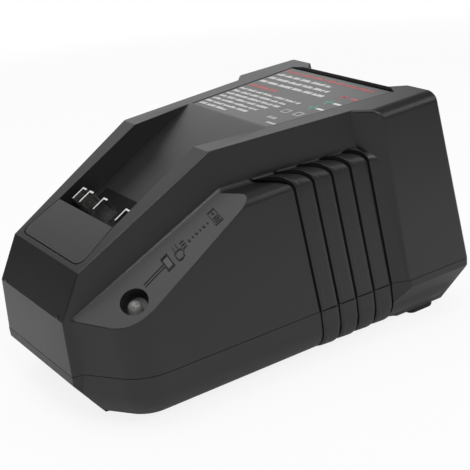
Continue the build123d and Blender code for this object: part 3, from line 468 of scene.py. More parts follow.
# ---------------------------------------------------------------- the charger's form
@dataclass(frozen=True)
class Form:
    """Outside surfaces of the charger, the same sizes as its solids."""

    length: float = 187.0
    height: float = 103.3
    seam: float = 24.3
    break_y: float = 68.7
    slope: float = 29.8
    rise: float = 2.34
    back_lean: float = 9.3
    nose_width: float = 60.6
    spread: float = 6.4
    draft: float = 3.3
    body_width: float = 104.8
    side_draft: float = 5.4
    shelf_drop: float = 17.0
    shelf_fall: float = 27.8
    shoulder_drop: float = 17.2
    shoulder_fall: float = 4.0
    shoulder_radius: float = 5.0

    def top_z(self, y: float) -> float:
        """z = height - (y_back - y) tan(rise)"""
        back = self.length - (self.height - self.seam) * tan(self.back_lean)
        return self.height - (back - y) * tan(self.rise)

    def slope_z(self, y: float) -> float:
        """z = top_z(break) - (break - y) tan(slope)"""
        return self.top_z(self.break_y) - (self.break_y - y) * tan(self.slope)

    def spine_x(self, y: float, z: float) -> float:
        """x = half nose width + y tan(spread) - (z - seam) tan(draft)"""
        return self.nose_width / 2 + y * tan(self.spread) - (z - self.seam) * tan(self.draft)

    def shelf_z(self, x: float, y: float) -> float:
        """z = slope_z(y) - drop - (x - x_inner) tan(fall)"""
        inner = self.spine_x(self.break_y / 2, self.seam)
        return self.slope_z(y) - self.shelf_drop - (x - inner) * tan(self.shelf_fall)

    def side_x(self, z: float | np.ndarray) -> float | np.ndarray:
        """x = half body width - (z - seam) tan(side draft)"""
        return self.body_width / 2 - (z - self.seam) * tan(self.side_draft)

    def shoulder_centre(self, first: float, y: float) -> tuple[float, float]:
        """Centre of the shoulder's round: one radius inside both the side and the shoulder line.

        Both lines are n . (x, z) = reach with unit n, so the centre solves n . (x, z) = reach - radius.

        Args:
            first: where the shoulder's height is measured, at the spine.
            y: where the centre is wanted.

        Returns:
            x and z of the centre.
        """
        lean, fall = math.radians(self.side_draft), math.radians(self.shoulder_fall)
        inner = self.spine_x(first, self.top_z(first) - self.shoulder_drop)
        base = self.top_z(y) - self.shoulder_drop + inner * math.tan(fall)
        rows = np.array([[math.cos(lean), math.sin(lean)], [math.sin(fall), math.cos(fall)]])
        side = self.body_width / 2 * math.cos(lean) + self.seam * math.sin(lean)
        reach = np.array([side, base * math.cos(fall)]) - self.shoulder_radius
        x, z = np.linalg.solve(rows, reach)
        return float(x), float(z)

    def place(self, points: np.ndarray) -> np.ndarray:
        """Millimetres with Y from the nose face, to metres in the model's frame."""
        return (np.asarray(points, dtype=float) - np.array([0.0, self.length / 2, 0.0])) * MM


@dataclass(frozen=True)
class Sheetframe:
    """Flat place on the charger: an origin, two axes in the surface and its normal."""

    origin: np.ndarray
    across: np.ndarray
    along: np.ndarray

    def normal(self) -> np.ndarray:
        """Unit normal, across x along."""
        made = np.cross(self.across, self.along)
        return made / np.linalg.norm(made)

    def lift(self, flat: np.ndarray, height: float) -> np.ndarray:
        """P = origin + u across + v along + height normal.

        Args:
            flat: array of (u, v).
            height: distance off the surface.

        Returns:
            Array of points.
        """
        flat = np.asarray(flat, dtype=float)
        return (self.origin + flat[:, :1] * self.across + flat[:, 1:2] * self.along
                + height * self.normal())


# ---------------------------------------------------------------- meshes
class Mesher:
    """Turns arrays of points into pieces that ride on the charger."""

    def __init__(self, form: Form, palette: Palette) -> None:
        """Keeps the form and the palette.

        Args:
            form: the charger's outside surfaces.
            palette: materials.
        """
        self.form = form
        self.palette = palette

    def piece(self, name: str, points: np.ndarray, faces: list, finish: Finish, slot: str,
              smooth: bool = False) -> bpy.types.Object:
        """Makes a closed piece from millimetre points.

        Args:
            name: name of the piece.
            points: array (n, 3).
            faces: corner numbers of each face.
            finish: its finish.
            slot: the record's material slot; not used.
            smooth: smooth shading.

        Returns:
            The new object.
        """
        mesh = bpy.data.meshes.new(name)
        mesh.from_pydata(self.form.place(points).tolist(), [], faces)
        work = bmesh.new()
        work.from_mesh(mesh)
        bmesh.ops.recalc_face_normals(work, faces=work.faces)
        work.to_mesh(mesh)
        work.free()
        mesh.polygons.foreach_set("use_smooth", np.full(len(mesh.polygons), smooth))
        if smooth:
            mesh.set_sharp_from_angle(angle=math.radians(40))
        made = bpy.data.objects.new(name, mesh)
        bpy.context.scene.collection.objects.link(made)
        self.palette.dress(made, finish)
        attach(made, BODY)
        LOG.info("%s: %d faces", name, len(mesh.polygons))
        return made

    @staticmethod
    def loft(rings: np.ndarray) -> Shell:
        """Skin over closed rings, capped at both ends.

        Args:
            rings: array (ring, point, 3); ring r, point p is vertex r n + p.

        Returns:
            Points and faces.
        """
        count, size, _ = rings.shape
        ring, spot = np.meshgrid(np.arange(count - 1), np.arange(size), indexing="ij")
        after = (spot + 1) % size
        quads = np.stack([ring * size + spot, ring * size + after,
                          (ring + 1) * size + after, (ring + 1) * size + spot], axis=-1).reshape(-1, 4)
        caps = [list(range(size)), list(range((count - 1) * size, count * size))]
        return rings.reshape(-1, 3), quads.tolist() + caps

    @staticmethod
    def join(parts: list[Shell]) -> Shell:
        """Several shells as one list of points and faces.

        Args:
            parts: points and faces of each shell.

        Returns:
            All points, and faces whose corner numbers are shifted to match.
        """
        points, faces, shift = [], [], 0
        for some, corners in parts:
            points.append(some)
            faces += [[corner + shift for corner in face] for face in corners]
            shift += len(some)
        return np.concatenate(points), faces

    @staticmethod
    def plate(frame: Sheetframe, outline: np.ndarray, low: float, high: float) -> Shell:
        """Flat plate: an outline carried from height low to height high."""
        return Mesher.loft(np.stack([frame.lift(outline, low), frame.lift(outline, high)]))

    @staticmethod
    def bar(frame: Sheetframe, start: Spot, end: Spot, width: float, low: float, high: float) -> Shell:
        """Straight stroke: a box whose ends reach half its width past start and end.

        Args:
            frame: where it lies.
            start: its first end, (u, v).
            end: its last end, (u, v).
            width: its width.
            low: height of its underside.
            high: height of its face.

        Returns:
            Points and faces.
        """
        a, b = np.array(start, dtype=float), np.array(end, dtype=float)
        run = (b - a) / np.linalg.norm(b - a)
        side = np.array([-run[1], run[0]]) * width / 2
        reach = run * width / 2
        outline = np.array([a - reach - side, b + reach - side, b + reach + side, a - reach + side])
        return Mesher.plate(frame, outline, low, high)

    @staticmethod
    def stroke(frame: Sheetframe, path: tuple[Spot, ...], width: float, low: float, high: float,
               closed: bool = False) -> list[Shell]:
        """Strokes along a path, one bar a leg.

        Args:
            frame: where it lies.
            path: its corners, (u, v).
            width: its width.
            low: height of its underside.
            high: height of its face.
            closed: leads the path back to its start.

        Returns:
            Points and faces of each leg.
        """
        spots = path + path[:1] if closed else path
        return [Mesher.bar(frame, a, b, width, low, high) for a, b in zip(spots, spots[1:])]


# ---------------------------------------------------------------- shells
@dataclass
class Shells:
    """Both housing shells, with small rounds along their moulded edges."""

    mesher: Mesher
    edge: float = 0.35
    sharp: float = 22.0
    weld: float = 0.002
    flat: float = 0.4
    segments: int = 2

    def rounded(self, node: str, finish: Finish, slot: str) -> bpy.types.Object:
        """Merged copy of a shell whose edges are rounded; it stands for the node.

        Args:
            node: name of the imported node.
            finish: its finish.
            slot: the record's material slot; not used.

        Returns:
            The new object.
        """
        source = bpy.data.objects[node]
        mesh = source.data.copy()
        mesh.name = node + "_rounded"
        work = bmesh.new()
        work.from_mesh(mesh)
        bmesh.ops.remove_doubles(work, verts=work.verts, dist=self.weld * MM)
        flat = math.radians(self.flat)
        bmesh.ops.dissolve_limit(work, angle_limit=flat, verts=work.verts, edges=work.edges)
        work.to_mesh(mesh)
        work.free()
        made = bpy.data.objects.new(node + "_shell", mesh)
        bpy.context.scene.collection.objects.link(made)
        bevel = made.modifiers.new("edges", "BEVEL")
        bevel.width = self.edge * MM
        bevel.segments = self.segments
        bevel.limit_method = "ANGLE"
        bevel.angle_limit = math.radians(self.sharp)
        bevel.harden_normals = False
        bevel.use_clamp_overlap = True
        mesh.polygons.foreach_set("use_smooth", np.full(len(mesh.polygons), True))
        weigh = made.modifiers.new("flats", "WEIGHTED_NORMAL")
        weigh.keep_sharp = True
        weigh.weight = 100
        self.mesher.palette.dress(made, finish)
        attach(made, BODY)
        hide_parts(node)
        LOG.info("%s: %d faces before rounding", made.name, len(mesh.polygons))
        return made

    def build(self) -> None:
        """Makes both shells."""
        self.rounded("upper_housing", Finish.SHELL, "shell_plastic")
        self.rounded("lower_housing", Finish.TRAY, "shell_plastic")


@dataclass(frozen=True)
class RibPath:
    """Line of one strip: across, height and place along the charger, with normals in x and z."""

    x: np.ndarray
    z: np.ndarray
    y: np.ndarray
    normals: np.ndarray


@dataclass
class Ribs:
    """Crowned strips between the grooves on both sides, with near-black ribbons of painted shade over the
    grooves and the vent mouths under their front lips.

    The grooves start at `first` and lean back by `lean` degrees up the side; `gap` is how far a
    strip stays off its groove, `lip` how high its front edge stands on the shoulder over the last
    `lip_run` of its line, and `mouth` how far the dark ribbon widens there.
    """

    mesher: Mesher
    count: int = 4
    pitch: float = 9.75
    first: float = 104.4
    groove: float = 0.9
    lean: float = 5.6
    turn: float = 52.0
    crown: float = 0.42
    tray_crown: float = 1.15
    tray_lean: float = 2.0
    tray_radius: float = 14.0
    floor: float = 2.6
    sunk: float = 0.3
    gap: float = 0.17
    lip: float = 1.1
    lip_run: float = 5.4
    mouth: float = 1.6
    mouth_front: float = 0.42
    mouth_back: float = 0.95
    proud: float = 0.05
    bell_start: float = 25.0
    bell_power: float = 0.9
    edge_v: float = -0.92
    edge_drop: float = 0.45
    seam_gap: float = 0.15
    tray_gap: float = 0.4
    tray_end: float = 84.0

    def cross(self) -> tuple[np.ndarray, np.ndarray]:
        """Cross-section of a strip, over and then back under the surface.

        The height is (1 - v^6)(0.85 + 0.25 v) less a crease of 0.16 exp(-((v + 0.35) / 0.07)^2).

        Returns:
            v from -1 to 1 and back, and the height, -1 under the surface.
        """
        v = np.concatenate([[-1.0, -0.985, -0.96, self.edge_v], np.linspace(-0.85, -0.55, 4),
                            np.linspace(-0.49, -0.21, 9), np.linspace(-0.14, 1.0, 10)])
        top = (1 - v ** 6) * (0.85 + 0.25 * v) - 0.16 * np.exp(-((v + 0.35) / 0.07) ** 2)
        return np.concatenate([v, v[::-1]]), np.concatenate([top, np.full(len(v), -1.0)])

    def half(self) -> float:
        """Half width of a strip."""
        return (self.pitch - self.groove) / 2 - self.gap

    def upper_path(self, index: int) -> RibPath:
        """Up the side, round the shoulder and in along it.

        Up the side x = X - (z - seam) tan(draft), then an arc of the shoulder's radius, then the
        shoulder's fall; y falls by tan(lean) a unit of height below the bend and by tan(turn) a
        unit of x beyond it.

        Args:
            index: number of the strip.

        Returns:
            The path.
        """
        form = self.mesher.form
        middle = self.first + (index + 0.5) * self.pitch
        bend_z = form.top_z(middle) - form.shoulder_drop - form.shoulder_radius
        bend_x = form.side_x(bend_z)
        start, stop = math.radians(form.side_draft), math.radians(90 - form.shoulder_fall)
        angle = np.linspace(start, stop, 9)  # the shoulder's round
        centre_x, centre_z = form.shoulder_centre(self.first, middle)
        z = np.linspace(form.seam + self.seam_gap, centre_z + form.shoulder_radius * math.sin(start), 14)[:-1]
        arc_x = centre_x + form.shoulder_radius * np.cos(angle)
        arc_z = centre_z + form.shoulder_radius * np.sin(angle)
        flat_x = np.linspace(arc_x[-1], arc_x[-1] - self.lip_run, 9)[1:]
        xs = np.concatenate([form.side_x(z), arc_x, flat_x])
        zs = np.concatenate([z, arc_z, arc_z[-1] + (arc_x[-1] - flat_x) * tan(form.shoulder_fall)])
        turned = np.concatenate([np.full(len(z), start), angle, np.full(len(flat_x), stop)])
        fall = np.where(zs <= bend_z, (zs - form.seam) * tan(self.lean),
                        (bend_z - form.seam) * tan(self.lean) + (bend_x - xs) * tan(self.turn))
        return RibPath(xs, zs, middle - fall, np.stack([np.cos(turned), np.sin(turned)], axis=1))

    def bell(self, path: RibPath) -> np.ndarray:
        """Share of the lip's height: sin(pi s^power), s from the bend to the inner end.

        Args:
            path: the strip's line.

        Returns:
            The share at each point, 0 below the bend.
        """
        tilt = np.arctan2(path.normals[:, 1], path.normals[:, 0])
        start = np.interp(math.radians(self.bell_start), tilt, path.x)
        share = np.clip((start - path.x) / (start - path.x[-1]), 0.0, 1.0)
        return np.sin(math.pi * share ** self.bell_power)

    def upper(self, index: int, side: int) -> Shell:
        """Strip on the upper shell; its front lip stands up on the shoulder.

        The crown fades to a tenth over the last four points of the line.

        Args:
            index: number of the strip.
            side: 1 right, -1 left.

        Returns:
            Points and faces.
        """
        path = self.upper_path(index)
        bell = self.bell(path)
        fade = np.clip(np.arange(len(path.x))[::-1] / 4.0, 0.1, 1.0)
        return self.skin(path, self.crown * fade, self.lip * bell, side, self.mesher.form.rise)

    def shade_ribbon(self, index: int, side: int) -> Shell:
        """Dark ribbon of painted shade over groove index: narrow up the side, a pointed mouth on the
        shoulder.

        It runs from a front edge (groove / 2 + gap + mouth bell) before the groove's middle, raised
        by mouth_front sqrt(bell), to a back edge under the lip, raised by mouth_back lip bell.

        Args:
            index: number of the groove.
            side: 1 right, -1 left.

        Returns:
            Points and faces.
        """
        path = self.upper_path(index)
        bell = self.bell(path)
        middle = path.y - self.pitch / 2
        front = middle - self.groove / 2 - self.gap - self.mouth * bell
        back = middle + self.groove / 2 + self.gap
        foot = np.full(len(bell), -self.sunk)
        rises = (foot, self.proud + self.mouth_front * np.sqrt(bell),
                 self.proud + self.mouth_back * self.lip * bell, foot)
        out, up = path.normals.T
        rings = [np.stack([side * (path.x + rise * out), y, path.z + rise * up], axis=-1)
                 for y, rise in zip((front, front, back, back), rises)]
        return Mesher.loft(np.stack(rings, axis=1))

    def lower(self, index: int, side: int) -> Shell:
        """Strip on the tray: down its side x = X - (seam - z) tan(lean), then round its lower edge.

        Args:
            index: number of the strip.
            side: 1 right, -1 left.

        Returns:
            Points and faces.
        """
        form = self.mesher.form
        lean = math.radians(self.tray_lean)
        centre_z = self.floor + self.tray_radius
        edge_x = form.body_width / 2
        centre_x = edge_x - (form.seam - centre_z) * math.tan(lean) - self.tray_radius / math.cos(lean)
        z = np.linspace(form.seam - self.tray_gap, centre_z + self.tray_radius * math.sin(-lean), 5)
        angle = np.linspace(-lean, -math.radians(self.tray_end), 16)[1:]
        side_x = edge_x - (form.seam - z) * math.tan(lean)
        xs = np.concatenate([side_x, centre_x + self.tray_radius * np.cos(angle)])
        zs = np.concatenate([z, centre_z + self.tray_radius * np.sin(angle)])
        turned = np.concatenate([np.full(len(z), -lean), angle])
        y = self.first + (index + 0.5) * self.pitch - (zs - form.seam) * tan(self.lean)
        crown = np.interp(turned, [-1.5, -0.6, -lean], [0.1, self.tray_crown, self.crown * 1.2])
        path = RibPath(xs, zs, y, np.stack([np.cos(turned), np.sin(turned)], axis=1))
        return self.skin(path, crown, np.zeros(len(xs)), side, 0.0)

    def skin(self, path: RibPath, crown: np.ndarray, lip: np.ndarray, side: int,
             rise: float) -> Shell:
        """Carries the cross-section along a path; the lip's front edge is rounded off before edge_v.

        Args:
            path: the strip's line.
            crown: height of the crown at each point.
            lip: extra height of the front edge at each point; it falls off as (1 - v)^2 / 4.
            side: 1 right, -1 left.
            rise: degrees that the shoulder climbs to the back.

        Returns:
            Points and faces.
        """
        v, shape = self.cross()
        rounded = 1 - self.edge_drop * np.clip((self.edge_v - v) / (1 + self.edge_v), 0.0, 1.0) ** 2
        raised = shape * crown[:, None] + lip[:, None] * rounded * (1 - v) ** 2 / 4
        height = np.where(shape > -0.5, raised, -self.sunk)
        climb = np.clip(path.normals[:, 1], 0.0, 1.0) * tan(rise)
        px = path.x[:, None] + height * path.normals[:, :1]
        py = path.y[:, None] + self.half() * v
        pz = path.z[:, None] + height * path.normals[:, 1:] + self.half() * v * climb[:, None]
        return Mesher.loft(np.stack([side * px, py, pz], axis=-1))

    def build(self) -> None:
        """Makes the strips of both shells, and the painted shade over the grooves and the vents' mouths."""
        for name, maker, finish, count in (("rib_strips_upper", self.upper, Finish.SHELL, self.count),
                                           ("rib_strips_tray", self.lower, Finish.TRAY, self.count),
                                           # the vent ribbons are painted shade, near-black over the grooves
                                           # and the vent openings
                                           ("vent_mouths", self.shade_ribbon, Finish.VENT_SHADE, self.count + 1)):
            parts = [maker(index, side) for index in range(count) for side in (1, -1)]
            self.mesher.piece(name, *Mesher.join(parts), finish, "shell_plastic", smooth=True)


@dataclass(frozen=True)
class Mark:
    """Strokes of one pictogram on the light shelf: their width, and their paths in u and v."""

    width: float
    paths: tuple[tuple[Spot, ...], ...]
    closed: bool = False


class Stroke(Enum):
    """Widths of the pictograms' strokes."""

    FINE = 0.16
    THIN = 0.36
    THICK = 0.55
    SPOT = 0.9


def dot(step: int) -> Mark:
    """Dot between the plug and the charged pack, every second one small."""
    u, v = -0.7 + 0.1 * step, 13.7 + 2.0 * step
    return Mark(Stroke.THICK.value * (0.8 if step % 2 else 1.4), (((u - 0.2, v), (u + 0.2, v + 0.2)),))


SHELF_MARKS: tuple[Mark, ...] = (
    # lead from the light up to the pack
    Mark(Stroke.FINE.value, (((-1.4, -11.0), (-1.4, -0.2)), ((-0.2, -11.0), (-0.2, -0.2)))),
    # line round the pack's block
    Mark(Stroke.THIN.value, (((-3.8, 0.0), (2.4, 0.0), (2.4, 3.4), (-3.8, 3.4)),), closed=True),
    # plug: two prongs, the body and its face, three bars
    Mark(Stroke.THICK.value, (((-3.7, 6.6), (-1.6, 6.5)), ((-3.8, 8.2), (-1.4, 8.3)))),
    Mark(Stroke.THICK.value, (((-0.9, 5.8), (0.8, 5.6), (2.3, 5.9), (2.9, 7.2), (2.4, 8.6), (0.7, 9.5),
                               (-0.7, 9.3)),)),
    Mark(Stroke.THIN.value, (((-0.9, 5.8), (-1.3, 7.4), (-0.7, 9.3)),)),
    Mark(Stroke.THICK.value, tuple(((u, 10.2), (u, 11.7)) for u in (-2.8, -1.4, 0.0))),
    *(dot(step) for step in range(6)),
    # charged pack: its outline, a spot and three bars
    Mark(Stroke.THIN.value, (((-3.2, 26.1), (3.3, 26.1), (3.5, 29.7), (-3.0, 29.4)),), closed=True),
    Mark(Stroke.SPOT.value, (((-1.9, 27.8), (-1.5, 27.9)),)),
    Mark(Stroke.THIN.value, tuple(((u, 26.8), (u + 0.1, 28.9)) for u in (0.3, 1.3, 2.3))),
)


@dataclass
class ShelfMarks:
    """Raised pictograms on the light shelf: a lead, a pack, a plug, dots and a charged pack."""

    mesher: Mesher
    origin: Spot = (41.5, 40.0)
    height: float = 0.35
    sunk: float = 0.1
    block: float = 0.6

    def frame(self) -> Sheetframe:
        """Place on the shelf, u outwards and v up the slope."""
        form = self.mesher.form
        x, y = self.origin
        across = np.array([1.0, 0.0, -tan(form.shelf_fall)])
        along = np.array([0.0, 1.0, tan(form.slope)])
        return Sheetframe(np.array([x, y, form.shelf_z(x, y)]), across / np.linalg.norm(across),
                          along / np.linalg.norm(along))

    def pack(self) -> Shell:
        """Solid block with slanted flanks, widest at its foot; its inner end slants most."""
        frame = self.frame()
        foot = np.array([(-3.6, 0.2), (2.2, 0.2), (2.2, 3.2), (-3.6, 3.2)])
        face = np.array([(-2.5, 0.45), (1.9, 0.45), (1.9, 2.9), (-2.5, 2.9)])
        return Mesher.loft(np.stack([
            frame.lift(foot, -self.sunk), frame.lift(foot, 0.05), frame.lift(face, self.block)]))

    def build(self) -> None:
        """Makes the dark strokes and the pack's block."""
        frame = self.frame()
        parts = [leg for mark in SHELF_MARKS for path in mark.paths
                 for leg in Mesher.stroke(frame, path, mark.width, -self.sunk, self.height, mark.closed)]
        self.mesher.piece("shelf_marks", *Mesher.join(parts), Finish.MARKS, "shell_plastic")
        self.mesher.piece("shelf_pack_mark", *self.pack(), Finish.PANEL, "shell_plastic")


@dataclass(frozen=True)
class PrintRow:
    """One row of print: its place up the label, its right end, its height and its ink."""

    up: float
    right: float
    tall: float
    ink: Finish


PRINT_ROWS: tuple[PrintRow, ...] = (
    PrintRow(55.4, 29.0, 2.4, Finish.PRINT_RED),
    PrintRow(49.9, 5.5, 2.4, Finish.PRINT_WHITE),
    PrintRow(44.3, 10.8, 2.4, Finish.PRINT_WHITE),
    PrintRow(38.7, 14.8, 2.4, Finish.PRINT_WHITE),
    PrintRow(31.9, -9.0, 2.6, Finish.PRINT_RED),
    PrintRow(26.6, 13.7, 1.9, Finish.PRINT_WHITE),
    PrintRow(22.4, 9.4, 1.9, Finish.PRINT_WHITE),
    PrintRow(18.4, 9.0, 1.9, Finish.PRINT_WHITE),
    PrintRow(14.4, 6.0, 1.9, Finish.PRINT_WHITE),
    PrintRow(10.4, 5.0, 1.9, Finish.PRINT_WHITE),
    PrintRow(6.4, 3.6, 1.9, Finish.PRINT_WHITE),
    PrintRow(2.6, -7.0, 1.9, Finish.PRINT_WHITE),
)


@dataclass
class LabelPrint:
    """Plain print on the label: rows of short dashes and the light's colour marks.

    `front`, `back_gap`, `margin` and `sink` are the label plate's own; `lift` is how far the ink
    stands up and `root` how far it reaches into the plate.
    """

    mesher: Mesher
    front: float = 101.6
    start: float = -33.4
    inset: float = 1.6
    gap: float = 0.32
    space: float = 1.3
    sign_u: float = 23.6
    disc: float = 1.2
    ray: float = 0.6
    bar_run: float = 4.6
    bar_half: float = 0.8
    lift: float = 0.03
    root: float = 0.02
    sink: float = 0.15
    back_gap: float = 10.9
    margin: float = 8.3
    gap_width: float = 0.45
    lip_width: float = 3.0
    lip_inset: float = 5.0
    lip_height: float = 0.2

    def frame(self) -> Sheetframe:
        """Place on the label: u to the right, v from its front edge to the back."""
        form = self.mesher.form
        along = np.array([0.0, 1.0, tan(form.rise)])
        origin = np.array([0.0, self.front, form.top_z(self.front) - self.sink])
        return Sheetframe(origin, np.array([1.0, 0.0, 0.0]), along / np.linalg.norm(along))

    def limit(self, v: float) -> float:
        """Left end of a row at v: inside the label's slanted edge."""
        form = self.mesher.form
        return max(self.start, self.inset - form.spine_x(self.front + v, form.height) + self.margin)

    def dash(self, u: float, v: float, run: float, tall: float) -> Shell:
        """One printed dash, a parallelogram slanted by 0.15 of its height.

        Args:
            u: its left end.
            v: its foot.
            run: its length.
            tall: its height.

        Returns:
            Points and faces.
        """
        slant = 0.15 * tall
        outline = np.array([(u, v), (u + run, v), (u + run + slant, v + tall), (u + slant, v + tall)])
        return Mesher.plate(self.frame(), outline, -self.root, self.lift)

    def row(self, row: PrintRow, seed: int) -> list[Shell]:
        """Row of dashes in groups, from a fixed sequence of lengths.

        Args:
            row: place, reach and height of the row.
            seed: start of the sequence.

        Returns:
            Points and faces of each dash.
        """
        rng = np.random.default_rng(seed)
        parts, at, left_in_group = [], self.limit(row.up), 4
        while at < row.right:
            run = float(rng.uniform(0.55, 1.3))
            parts.append(self.dash(at, row.up, run, row.tall * float(rng.choice([1.0, 1.0, 0.72]))))
            left_in_group -= 1
            at += run + (self.gap if left_in_group > 0 else self.space)
            if left_in_group == 0:
                left_in_group = int(rng.integers(3, 8))
        return parts

    def sign(self, up: float) -> list[Shell]:
        """Shining light: a disc of twelve corners, with a cross of rays.

        Args:
            up: its place up the label.

        Returns:
            Points and faces of the disc and both rays.
        """
        frame, u = self.frame(), self.sign_u
        turn = np.linspace(0, 2 * math.pi, 12, endpoint=False)
        disc = np.stack([u + self.disc * np.cos(turn), up + self.disc * np.sin(turn)], axis=1)
        return [Mesher.plate(frame, disc, -self.root, self.lift),
                Mesher.bar(frame, (u, up - 2.6), (u, up + 2.6), self.ray, -self.root, self.lift),
                Mesher.bar(frame, (u - 2.4, up), (u + 2.4, up), self.ray, -self.root, self.lift)]

    def signs(self) -> dict[Finish, list[Shell]]:
        """Colour marks of the light on the right, with small plain marks before them.

        Returns:
            Points and faces, by ink.
        """
        frame = self.frame()
        red, green, white = Finish.PRINT_RED, Finish.PRINT_GREEN, Finish.PRINT_WHITE
        made: dict[Finish, list[Shell]] = {red: [], green: [], white: []}
        for up, ink, bar_ink in ((44.4, red, red), (36.0, green, white), (27.4, green, white)):
            made[ink] += self.sign(up)
            right, low, high = -self.limit(up), up - self.bar_half, up + self.bar_half
            left = right - self.bar_run
            bar = np.array([(left, low), (right, low), (right, high), (left, high)])
            made[bar_ink].append(Mesher.plate(frame, bar, -self.root, self.lift))
        for u, v in ((17.6, 17.6), (25.4, 18.2)):
            ring = ((u - 1.8, v - 1.8), (u + 1.8, v - 1.8), (u + 1.8, v + 1.8), (u - 1.8, v + 1.8))
            made[white] += Mesher.stroke(frame, ring, 0.35, -self.root, self.lift, closed=True)
        made[white] += [self.dash(17.0 + 2.0 * step, 7.6, 0.7, 2.2) for step in range(3)]
        made[white] += [self.dash(22.4 + 1.5 * step, 3.2, 0.9, 1.4) for step in range(4)]
        return made

    def border(self) -> Shell:
        """Painted shade: a dark line in the gap at the label's sides, and a raised dark lip along its back
        edge where the step behind the label lies in shadow.

        The label's half width is spine_x(y, height) - margin, at its front and at its back.

        Returns:
            Points and faces.
        """
        form = self.mesher.form
        back = form.length - (form.height - form.seam) * tan(form.back_lean) - self.back_gap
        run = (back - self.front) / math.cos(math.radians(form.rise))
        near = form.spine_x(self.front, form.height) - self.margin
        far = form.spine_x(back, form.height) - self.margin
        frame = self.frame()
        sides = [Mesher.bar(frame, (turn * near, 0.2), (turn * far, run), self.gap_width, -0.3, 0.12)
                 for turn in (-1, 1)]
        end = far + self.gap_width / 2
        lip = np.array([(-end, run), (end, run), (end - self.lip_inset, run + self.lip_width),
                        (self.lip_inset - end, run + self.lip_width)])
        return Mesher.join([*sides, Mesher.plate(frame, lip, -0.2, self.sink + self.lip_height)])

    def build(self) -> None:
        """Makes the print, one piece an ink."""
        made = self.signs()
        for seed, row in enumerate(PRINT_ROWS):
            made[row.ink] += self.row(row, seed)
        for ink, name in ((Finish.PRINT_RED, "label_print_red"), (Finish.PRINT_GREEN, "label_print_green"),
                          (Finish.PRINT_WHITE, "label_print_white")):
            self.mesher.piece(name, *Mesher.join(made[ink]), ink, "label_film")
        # the label's border is painted shade, not ink
        self.mesher.piece("label_border", *self.border(), Finish.EDGE_SHADE, "label_film")


# ---------------------------------------------------------------- studio
@dataclass(frozen=True)
class Softbox:
    """Square lamp seen from the charger: its direction, distance, size and brightness."""

    name: str
    toward: tuple[float, float, float]
    distance: float
    size: float
    radiance: float


SOFTBOXES: tuple[Softbox, ...] = (
    Softbox("overhead", (-0.05, -0.25, 0.96), 1.3, 1.1, 2.3),
    Softbox("left", (-0.82, 0.28, 0.42), 1.5, 1.3, 1.0),
    Softbox("right_back", (0.6, 0.65, 0.47), 1.4, 0.5, 3.0),
    Softbox("key", (0.6, -0.1, 0.6), 1.2, 0.4, 9.5),
)


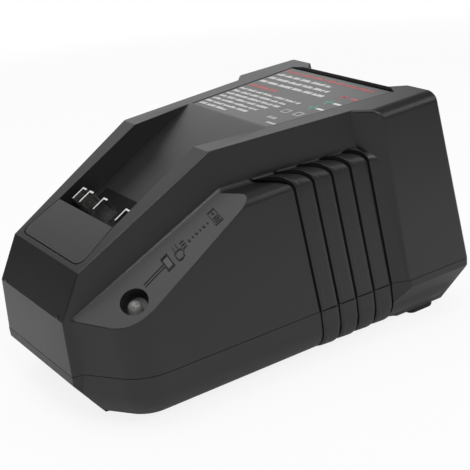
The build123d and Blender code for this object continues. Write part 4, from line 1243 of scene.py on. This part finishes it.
@dataclass
class Studio:
    """Pale floor, soft lamps, surroundings and the camera."""

    floor_half: float = 2.5
    near: float = 0.42
    fade: float = 0.3
    glow: float = 0.86
    eye: tuple[float, float, float] = (0.3819, -0.2385, 0.2270)
    aim: tuple[float, float, float] = (0.0023289, 0.0042338, 0.0464683)
    roll: float = -5.279
    lens: float = 84.2553

    def floor(self) -> None:
        """Plain floor that shows white and keeps a faint shadow; reflections see it darken outwards.

        The matt colour falls from `near` metres over `fade` metres as painted shade, and the camera's
        share of white grows from `glow` to 1 over the same run.
        """
        mesh = bpy.data.meshes.new("floor")
        half = self.floor_half
        corners = [(-half, -half, 0), (half, -half, 0), (half, half, 0), (-half, half, 0)]
        mesh.from_pydata(corners, [], [(0, 1, 2, 3)])
        made = bpy.data.objects.new("floor", mesh)
        bpy.context.scene.collection.objects.link(made)
        material = bpy.data.materials.new("floor")
        material.use_nodes = True
        sheet = Sheet(material.node_tree)
        path = sheet.node("ShaderNodeLightPath")
        seen = sheet.value(path, "Is Camera Ray").largest(sheet.value(path, "Is Transmission Ray"))
        length = sheet.node("ShaderNodeVectorMath", {"operation": "LENGTH"}, {0: sheet.position()})
        reach = sheet.value(length, "Value")
        far = ((reach - self.near) * (1 / self.fade)).clamped()
        # painted shade: the floor's matt colour darkens from 0.9 to 0.1 outwards
        tone = sheet.ramp(far, [(0.0, (0.9, 0.9, 0.9)), (1.0, (0.1, 0.1, 0.1))])
        matt = sheet.node("ShaderNodeBsdfDiffuse", {}, {"Color": tone})
        glow = sheet.node("ShaderNodeEmission", {}, {"Color": (1, 1, 1, 1), "Strength": 1.0})
        mixed = sheet.node("ShaderNodeMixShader", {}, {
            0: seen * (far * (1 - self.glow) + self.glow), 1: matt.outputs[0], 2: glow.outputs[0]})
        sheet.node("ShaderNodeOutputMaterial", {}, {"Surface": mixed.outputs[0]})
        mesh.materials.append(material)

    def softbox(self, box: Softbox) -> None:
        """Square soft lamp aimed at the charger; its power is radiance x pi x area.

        Args:
            box: its place, size and brightness.
        """
        data = bpy.data.lights.new(box.name, "AREA")
        data.shape = "SQUARE"
        data.size = box.size
        data.energy = box.radiance * math.pi * box.size ** 2
        made = bpy.data.objects.new(box.name, data)
        toward = Vector(box.toward).normalized()
        made.location = toward * box.distance
        made.rotation_euler = toward.to_track_quat("Z", "Y").to_euler()
        bpy.context.scene.collection.objects.link(made)

    def surroundings(self) -> None:
        """White to the camera; to the object, dim at the horizon and grey above."""
        world = bpy.data.worlds.new("studio")
        bpy.context.scene.world = world
        world.use_nodes = True
        sheet = Sheet(world.node_tree)
        coordinates = sheet.node("ShaderNodeTexCoord").outputs["Generated"]
        height = sheet.value(sheet.node("ShaderNodeSeparateXYZ", {}, {"Vector": coordinates}), "Z")
        tone = sheet.ramp(height, [(0.0, (0.055, 0.055, 0.055)), (0.12, (0.1, 0.1, 0.1)),
                                   (0.3, (0.24, 0.24, 0.24)), (0.9, (0.24, 0.24, 0.24))])
        room = sheet.node("ShaderNodeBackground", {}, {"Color": tone, "Strength": 1.0})
        white = sheet.node("ShaderNodeBackground", {}, {"Color": (1, 1, 1, 1), "Strength": 1.0})
        seen = sheet.node("ShaderNodeLightPath").outputs["Is Camera Ray"]
        mixed = sheet.node("ShaderNodeMixShader", {}, {0: seen, 1: room.outputs[0], 2: white.outputs[0]})
        sheet.node("ShaderNodeOutputWorld", {}, {"Surface": mixed.outputs[0]})

    def camera(self) -> None:
        """Camera at the viewing angle, rolled a little."""
        data = bpy.data.cameras.new("camera")
        data.lens = self.lens
        data.sensor_width = 36.0
        data.clip_start = 0.01
        made = bpy.data.objects.new("camera", data)
        turn = (Vector(self.aim) - Vector(self.eye)).to_track_quat("-Z", "Y").to_matrix()
        made.matrix_world = Matrix.Translation(self.eye) @ (
            turn @ Matrix.Rotation(math.radians(self.roll), 3, "Z")).to_4x4()
        bpy.context.scene.collection.objects.link(made)
        bpy.context.scene.camera = made

    def build(self) -> None:
        """Sets up the whole studio."""
        self.floor()
        self.surroundings()
        for box in SOFTBOXES:
            self.softbox(box)
        self.camera()
        bpy.context.scene.view_settings.view_transform = "Standard"


def main() -> None:
    """Builds the charger's looks in order."""
    logging.basicConfig(level=logging.INFO, format="%(message)s")
    bpy.ops.wm.read_factory_settings(use_empty=True)
    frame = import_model()
    palette = Palette()
    for finish, names in NODES.items():
        for name in names:
            palette.dress(frame["nodes"][name], finish)
            LOG.info("%s: %s", name, finish.value.name)
    mesher = Mesher(Form(), palette)
    Shells(mesher).build()
    Ribs(mesher).build()
    ShelfMarks(mesher).build()
    LabelPrint(mesher).build()
    Studio().build()


if __name__ == "__main__":
    main()
